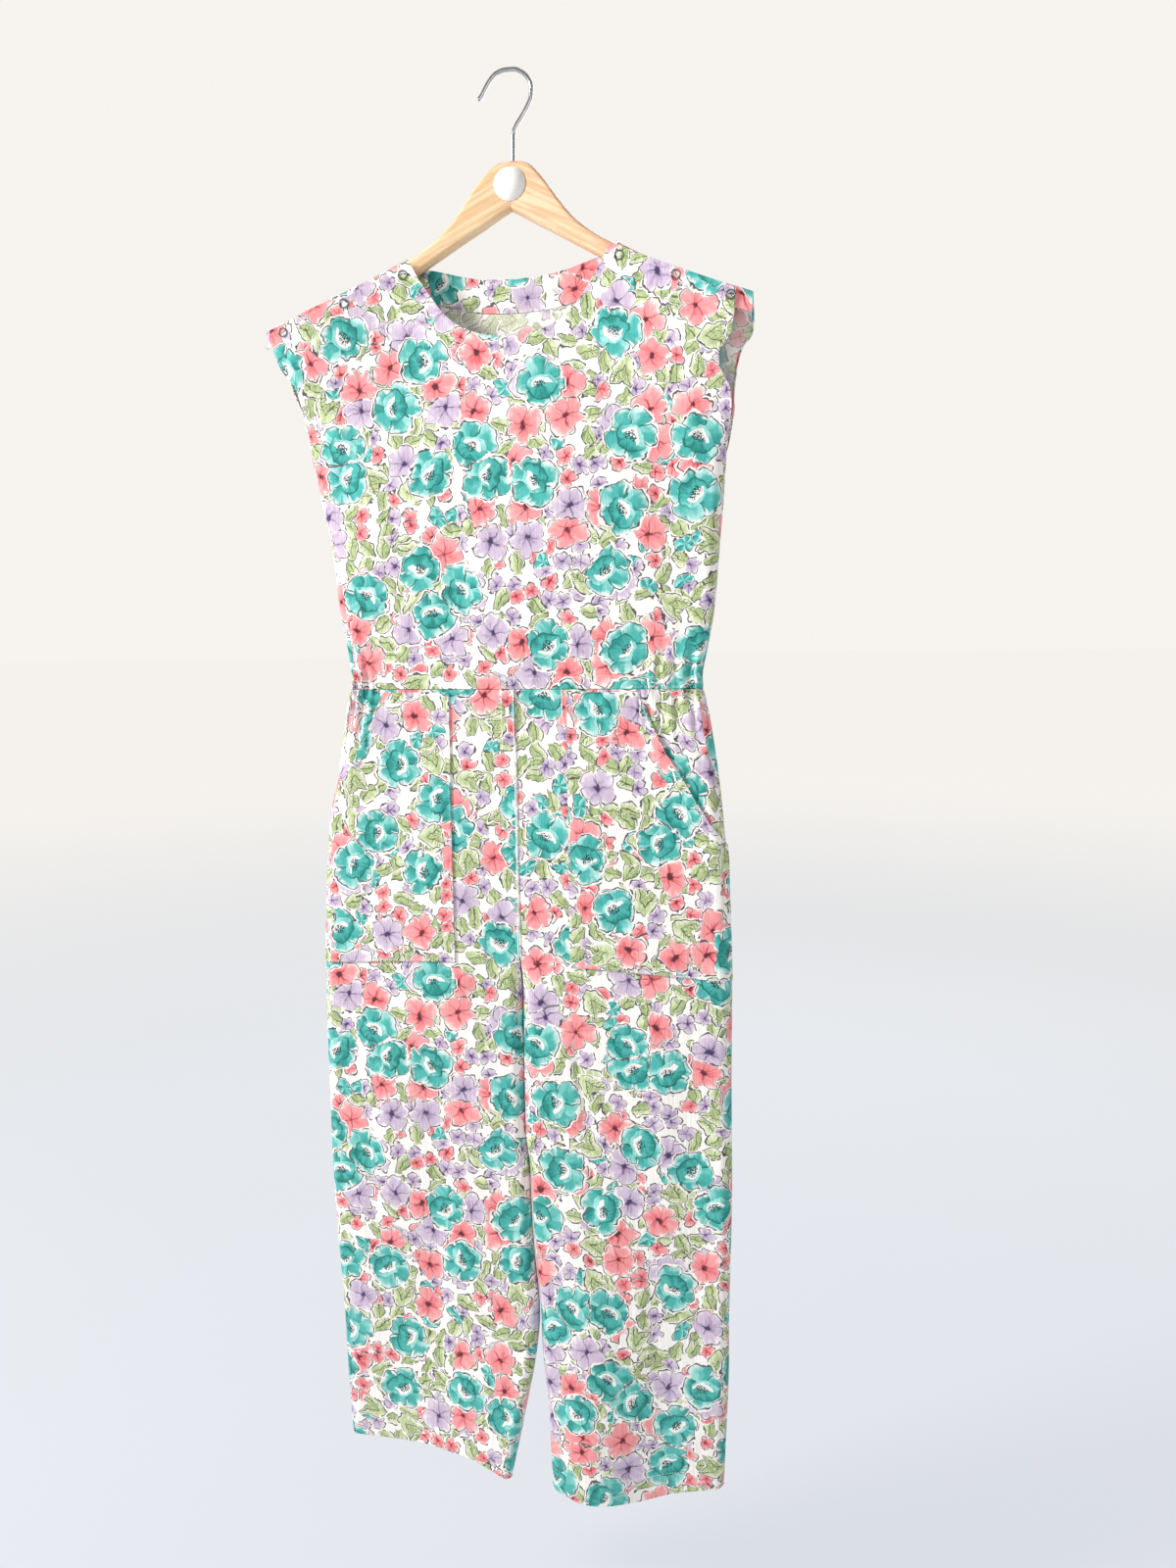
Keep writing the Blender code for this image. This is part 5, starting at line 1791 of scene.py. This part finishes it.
front_paths = [across_at(NECK_STITCH, 0.012, 0.988, 60), across_at(CASING), elastic_end()] + armholes()
back_paths = [across_at(CASING), across_at(0.016, 0.305, 0.695, 30)] + armholes()
sewing = {
    "front_bodice": stitches("stitches_front_bodice", [(BODICE_FRONT, 1, path) for path in front_paths]),
    "back_bodice": stitches("stitches_back_bodice", [(BODICE_BACK, 1, path) for path in back_paths]),
}
hem_down = 1 - HEM_STITCH / LEG_LENGTH
in_from = POCKET_STITCH / LEG_WIDTH
for side in ("left", "right"):
    outward = OUTWARD[side]
    for face, surface in (("front", LEG_FRONTS[side]), ("back", LEG_BACKS[side])):
        node = f"{face}_leg_{side}"
        sewing[node] = stitches("stitches_" + node, [(surface, outward, across_at(hem_down))])
    _, corner, edge, _ = pocket_places(side)
    mouth = across_at(MOUTH_DOWN, POCKET_SEAM + in_from, corner - 0.01, 12)
    inner = [(edge - in_from, down) for down in np.linspace(0.01, FOOT_DOWN, 12)]
    foot = across_at(FOOT_DOWN, edge - in_from, POCKET_SEAM + in_from, 12)
    surface = pocket_surface(side)
    sewing["pocket_" + side] = stitches(
        "stitches_pocket_" + side, [(surface, outward, mouth), (surface, outward, inner + foot)]
    )
print("sewing:", {name: len(piece.data.polygons) // 20 for name, piece in sewing.items()})

# %% [markdown]
# ## The ring snaps
#
# Three open ring snaps close each shoulder. Pressed from thin metal, each is a rounded ring with
# a step down to its inner rim, and the cloth shows through its middle. The profile is turned
# round with a full spin.

# %% Ring snaps
# Middles of the ring snaps on the front's shoulder edges: x and z
SNAPS = {
    "left": ((-111.5, -194.5), (-174, -220.5), (-240, -247)),
    "right": ((114.5, -192.5), (172.5, -216.5), (226, -241)),
}
SNAP_LIFT = 0.15

# Half of a ring's section: distance from its middle, and height over the cloth
SNAP_PROFILE = (
    (3.7, 0.25),
    (3.72, 0.62),
    (3.95, 0.9),
    (4.35, 1.02),
    (4.75, 0.92),
    (5.02, 0.6),
    (5.08, 0.2),
)


def snap_place(x, z):
    """The point of the front nearest to this x and z, and its outward normal."""
    shares = np.linspace(0.02, 0.98, 800)
    front = bodice("front")
    best = None
    for down in np.linspace(0.0, 0.12, 60):
        points = front(shares, np.full_like(shares, down))
        gaps = np.hypot(points[:, 0] - x, points[:, 2] - z)
        k = int(np.argmin(gaps))
        if best is None or gaps[k] < best[0]:
            best = (gaps[k], shares[k], down)
    share, down = np.array([best[1]]), np.array([best[2]])
    normal = normal_of(front, share, down)[0]
    lift = soft_waves(*front(share, down)[0][[0, 2]])
    return Vector(front(share, down)[0] + normal * (lift + SNAP_LIFT)) * MM, Vector(normal)


def make_snap(name, x, z, finish):
    centre, out = snap_place(x, z)
    bm = bmesh.new()
    verts = [bm.verts.new((r * MM, 0, h * MM)) for r, h in SNAP_PROFILE]
    edges = [bm.edges.new(pair) for pair in zip(verts, verts[1:] + verts[:1])]
    bmesh.ops.spin(
        bm, geom=verts + edges, cent=(0, 0, 0), axis=(0, 0, 1), steps=40, angle=2 * math.pi, use_merge=True
    )
    turn = out.to_track_quat("Z", "Y").to_matrix().to_4x4()
    bmesh.ops.transform(bm, matrix=Matrix.Translation(centre) @ turn, verts=bm.verts)
    bmesh.ops.recalc_face_normals(bm, faces=bm.faces)
    return finished(name, bm, (finish,), 60)


# Dark plated metal, rubbed a little brighter here and there
GUNMETAL = mottled(
    "gunmetal", ("565A60", "9A9DA2"), (0.35, 0.7), rough=0.25, rough_range=0.25, scale=700.0, detail=2.0,
    metallic=0.9,
)
snaps = {}
for side, places in SNAPS.items():
    for k, (x, z) in enumerate(places, 1):
        snaps[f"snap_{side}_{k}"] = make_snap(f"snap_{side}_{k}_ring", x, z, GUNMETAL)
print("snaps:", sorted(snaps))

# %% [markdown]
# ## The hanger
#
# Two halves of beech, cut to the shape of shoulders and joined in the middle, under a clear
# varnish. The right half is painted a little darker and pinker than the left, as painted shade
# where it turns away from the light. Beech has a straight fine grain with short darker flecks,
# which runs along each arm.

# %% Beech
def beech_grain():
    """The grain of beech: its colour, and its pores as a height. Dark and Pale are the two tones of one half.
    """
    inputs = (("Place", "Vector"), ("Dark", "Color"), ("Pale", "Color"))
    outputs = (("Color", "Color"), ("Pores", "Float"))
    tree, (place, dark, pale), leave = new_group("beech_grain", inputs, outputs)
    bands = grain_value(place.vector("MULTIPLY", (14.0, 150.0, 260.0)), 1.0, 3.0, flat=False)
    fibres = grain_value(place.vector("MULTIPLY", (60.0, 1500.0, 2200.0)), 1.0, 2.0, flat=False)
    flecks = grain_value(place.vector("MULTIPLY", (420.0, 2400.0, 2400.0)), 1.0, 1.0, flat=False)
    colour = paint(dark, pale, rise(bands, 0.3, 0.7))
    colour = paint(colour, dark, rise(fibres, 0.52, 0.72) * 0.45)
    colour = paint(colour, "8A5A38", rise(flecks, 0.66, 0.74) * 0.45)
    feed(tree, leave, {"Color": colour, "Pores": fibres + flecks * 0.5})
    return tree


def beech(name, grain_group, dark, pale, slope):
    """Varnished beech whose grain runs down this arm's slope."""
    made, tree, shader = new_material(name)
    mapping = new_node(tree, "Mapping", {"Vector": object_place(tree), "Rotation": (0.0, slope, 0.0)})
    inputs = {"Place": Reading(tree, mapping.outputs["Vector"]), "Dark": dark, "Pale": pale}
    group = new_node(tree, "Group", inputs, node_tree=grain_group)
    colour = Reading(tree, group.outputs["Color"])
    pores = Reading(tree, group.outputs["Pores"])
    feed(tree, shader, {"Base Color": colour, "Roughness": pores * 0.12 + 0.34})
    feed(tree, shader, {"Coat Weight": 0.25, "Coat Roughness": 0.25})
    bumped(tree, shader, pores, 0.00008)
    return made


ARM_SLOPE = math.radians(27)
BEECH_GRAIN = beech_grain()
BEECH_LEFT = beech("beech_left_board", BEECH_GRAIN, "DDB484", "F0D4AE", ARM_SLOPE)
# The right half's tones are a little darker and pinker: painted shade, for the side turned from the light.
BEECH_RIGHT_SHADED = beech("beech_right_painted_shade", BEECH_GRAIN, "DCA981", "F3CCA8", -ARM_SLOPE)
print("beech:", BEECH_LEFT.name, BEECH_RIGHT_SHADED.name)

# %% [markdown]
# Each half is drawn out from its flat joint: one rounded oblong face is extruded from station to
# station and reshaped at each, which keeps the half one closed skin with the joint's face at its
# end.

# %% The two wooden halves
RING_POINTS = 40

# How far the arm has shrunk at the stations of its rounded end
ENDS_AT = {218: 0.93, 220: 0.84, 221.5: 0.68, 222.5: 0.45, 223: 0.2}


def arm_ring(x, side, shrink):
    """Points round the hanger's arm, a tall oblong with round corners."""
    out = abs(x)
    top, bottom = float(WOOD["top"](out)), float(WOOD["bottom"](out))
    middle, half = (top + bottom) / 2, (top - bottom) / 2
    corner = min(ARM_CORNER * shrink, half)
    thick = ARM_HALF * shrink
    points = []
    per_corner = RING_POINTS // 4
    for k in range(RING_POINTS):
        quarter = k // per_corner
        angle = math.radians(quarter * 90 + (k % per_corner) * 90 / (per_corner - 1))
        centre_y = (thick - corner) * (1 if quarter in (0, 3) else -1)
        centre_z = (half - corner) * (1 if quarter in (0, 1) else -1)
        y = float(sweep(out)) + centre_y + corner * math.cos(angle)
        points.append((side * out * MM, y * MM, (middle + centre_z + corner * math.sin(angle)) * MM))
    return points


def make_arm(name, side, finish):
    """One half, drawn out from the joint in its middle to its rounded end."""
    stations = even(0.1, 60, 2.5) + even(64, 208, 5) + [212, 215, 218, 220, 221.5, 222.5, 223]
    bm = bmesh.new()
    bmesh.ops.create_circle(bm, cap_ends=True, segments=RING_POINTS, radius=0.01)
    bm.verts.ensure_lookup_table()
    place = bm.verts.layers.int.new("place")
    for k, vert in enumerate(bm.verts):
        vert[place] = k
    cap = bm.faces[:][0]
    for vert in cap.verts:
        vert.co = arm_ring(stations[0], side, 1)[vert[place]]
    for station in stations[1:]:
        ring = arm_ring(station, side, ENDS_AT.get(station, 1))
        made = bmesh.ops.extrude_face_region(bm, geom=[cap], use_keep_orig=True)
        if station != stations[1]:
            bmesh.ops.delete(bm, geom=[cap], context="FACES_ONLY")
        cap = next(item for item in made["geom"] if isinstance(item, bmesh.types.BMFace))
        for vert in cap.verts:
            vert.co = ring[vert[place]]
    bmesh.ops.recalc_face_normals(bm, faces=bm.faces)
    return finished(name, bm, (finish,), 50)


arm_left = make_arm("hanger_left_arm", -1, BEECH_LEFT)
arm_right = make_arm("hanger_right_arm", 1, BEECH_RIGHT_SHADED)
print("arm faces:", len(arm_left.data.polygons), len(arm_right.data.polygons))

# %% [markdown]
# The hook is one bent wire, plated bright. A curve with a round bevel is the plain way to make
# it. Its plating is a metal of light grey with faint drawn lines.

# %% The hook
HOOK_CUTS = 8

# Rounded tip of the wire: millimetres past its end, and share of its thickness
HOOK_TIP = ((0.9, 0.55), (0.7, 0.8), (0.35, 0.95))


def make_hook():
    """The bent wire, with a small rounded tip."""
    along = [float(k) for k in range(len(HOOK))]
    x_at = curve(along, [point[0] for point in HOOK])
    z_at = curve(along, [point[1] for point in HOOK])
    wire = bpy.data.curves.new("hook_wire", "CURVE")
    wire.dimensions = "3D"
    wire.bevel_depth = HOOK_WIRE / 2 * MM
    wire.bevel_resolution = 6
    wire.use_fill_caps = True
    line = wire.splines.new("POLY")
    steps = HOOK_CUTS * (len(HOOK) - 1)
    line.points.add(steps + len(HOOK_TIP))
    tip = Vector((float(x_at(0.0) - x_at(0.1)), 0, float(z_at(0.0) - z_at(0.1)))).normalized()
    for k, (past, radius) in enumerate(HOOK_TIP):
        line.points[k].co = ((float(x_at(0)) + tip.x * past) * MM, 0, (float(z_at(0)) + tip.z * past) * MM, 1)
        line.points[k].radius = radius
    for k in range(steps + 1):
        at = k / HOOK_CUTS
        line.points[k + len(HOOK_TIP)].co = (float(x_at(at)) * MM, 0, float(z_at(at)) * MM, 1)
    wire.materials.append(PLATING)
    return placed("hanger_hook_wire", wire)


PLATING = mottled(
    "bright_plating", ("A9AAAC", "C2C3C5"), (0.3, 0.7), rough=0.12, rough_range=0.14, scale=1.0, detail=2.0,
    stretch=(500.0, 500.0, 60.0), metallic=1.0,
)
hook = make_hook()
print("hook points:", len(hook.data.splines[0].points))

# %% [markdown]
# A round label sits over the joint. It is left blank: white paper with a matt tooth, bent
# slightly where the two halves meet.

# %% The blank label
LABEL_RINGS = 7
LABEL_BEND = 1.2
LABEL_LIFT = 0.8
LABEL_THICKNESS = 0.45


def make_label():
    """A disc of paper: a capped circle, cut finer, laid on the bent front of the hanger."""
    bm = bmesh.new()
    bmesh.ops.create_circle(bm, cap_ends=True, segments=96, radius=LABEL_RADIUS * MM)
    ring = LABEL_RADIUS * MM / (LABEL_RINGS + 1)
    for _ in range(LABEL_RINGS):
        faces = [face for face in bm.faces if len(face.verts) > 4]
        bmesh.ops.inset_region(bm, faces=faces, thickness=ring, use_even_offset=True)
    for vert in bm.verts:
        x, height = vert.co.x / MM, vert.co.y / MM
        y = float(sweep(soft_floor(x, LABEL_BEND))) - ARM_HALF - LABEL_LIFT
        vert.co = (x * MM, y * MM, (LABEL_Z + height) * MM)
    bmesh.ops.recalc_face_normals(bm, faces=bm.faces)
    if sum(face.normal.y for face in bm.faces) > 0:
        bmesh.ops.reverse_faces(bm, faces=bm.faces)
    made = finished("hanger_label_disc", bm, (PAPER,))
    body = made.modifiers.new("paper", "SOLIDIFY")
    body.thickness = LABEL_THICKNESS * MM
    body.offset = -1
    return made


PAPER = mottled(
    "blank_label_paper", ("EFEDE9", "FBFAF8"), (0.3, 0.7), rough=0.55, rough_range=0.15, scale=1600.0,
    detail=3.0, bump=0.00003,
)
label = make_label()
print("label faces:", len(label.data.polygons))

# %% [markdown]
# ## The floor's finish
#
# The floor is the plain pale ground of a studio. It is a little cooler near the garment and takes
# the room's own tone far away, and it glows faintly, so no horizon cuts through the picture.

# %% Floor finish
FLOOR_GLOW = 1.0
NEAR_TONE = (0.60, 0.635, 0.69, 1)
FAR_TONE = (0.855, 0.832, 0.80, 1)


def floor_finish():
    """A matt floor whose glow goes from the near tone to the far one."""
    made, tree, shader = new_material("studio_floor")
    place = object_place(tree)
    away = place.vector("MULTIPLY", (1.0, 1.0, 0.0)).vector("LENGTH")
    glow = paint(NEAR_TONE, FAR_TONE, rise(away, 0.0, 8.0))
    mottle = grain_value(place, 2.0, 2.0, flat=False)
    feed(tree, shader, {"Base Color": paint("666564", "6A6968", mottle), "Emission Color": glow})
    feed(tree, shader, {"Emission Strength": FLOOR_GLOW, "Roughness": 0.95, "Specular IOR Level": 0.0})
    return made


floor.data.materials.append(floor_finish())
print("floor at", FLOOR_Z, "m")

# %% [markdown]
# ## What each piece stands for
#
# Every finished piece rides on the one body and replaces its plain solid.

# %% Places on the body
# Sheets: width, length and area of the cut, how it is held and what it rests on
SHEETS = {
    "front_bodice": (0.52, 0.46, 0.172, "hung", ["back_bodice_cloth"]),
    "back_bodice": (0.53, 0.46, 0.198, "hung", ["hanger_left_arm", "hanger_right_arm"]),
    "back_neck_facing": (0.20, 0.05, 0.0075, "hung", ["back_bodice_cloth"]),
    "front_leg_left": (0.26, 0.92, 0.205, "hung", ["front_bodice_cloth"]),
    "front_leg_right": (0.26, 0.92, 0.202, "hung", ["front_bodice_cloth"]),
    "back_leg_left": (0.27, 0.92, 0.209, "gathered", ["back_bodice_cloth"]),
    "back_leg_right": (0.27, 0.92, 0.202, "gathered", ["back_bodice_cloth"]),
    "pocket_left": (0.17, 0.30, 0.040, "hung", ["front_leg_left_cloth"]),
    "pocket_right": (0.18, 0.30, 0.044, "hung", ["front_leg_right_cloth"]),
}
panels = {
    "front_bodice": front_bodice,
    "back_bodice": back_bodice,
    "back_neck_facing": neck_facing,
    **leg_panels,
    "pocket_left": pockets["left"],
    "pocket_right": pockets["right"],
}
covers = [(piece, node, "printed_cotton") for node, piece in panels.items()]
covers += [(piece, node, "snap_metal") for node, piece in snaps.items()]
covers += [
    (arm_left, "hanger_left_half", "beech"),
    (arm_right, "hanger_right_half", "beech"),
    (hook, "hanger_hook", "bright_wire"),
    (label, "hanger_label", "blank_paper"),
]
for piece, node, finish in covers:
    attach(piece, "root")
    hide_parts(node)
for piece in sewing.values():
    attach(piece, "root")
for node, (width, length, area, held, rests_on) in SHEETS.items():
    trim = [sewing[node]] if node in sewing else []
print("sheets:", len(SHEETS))
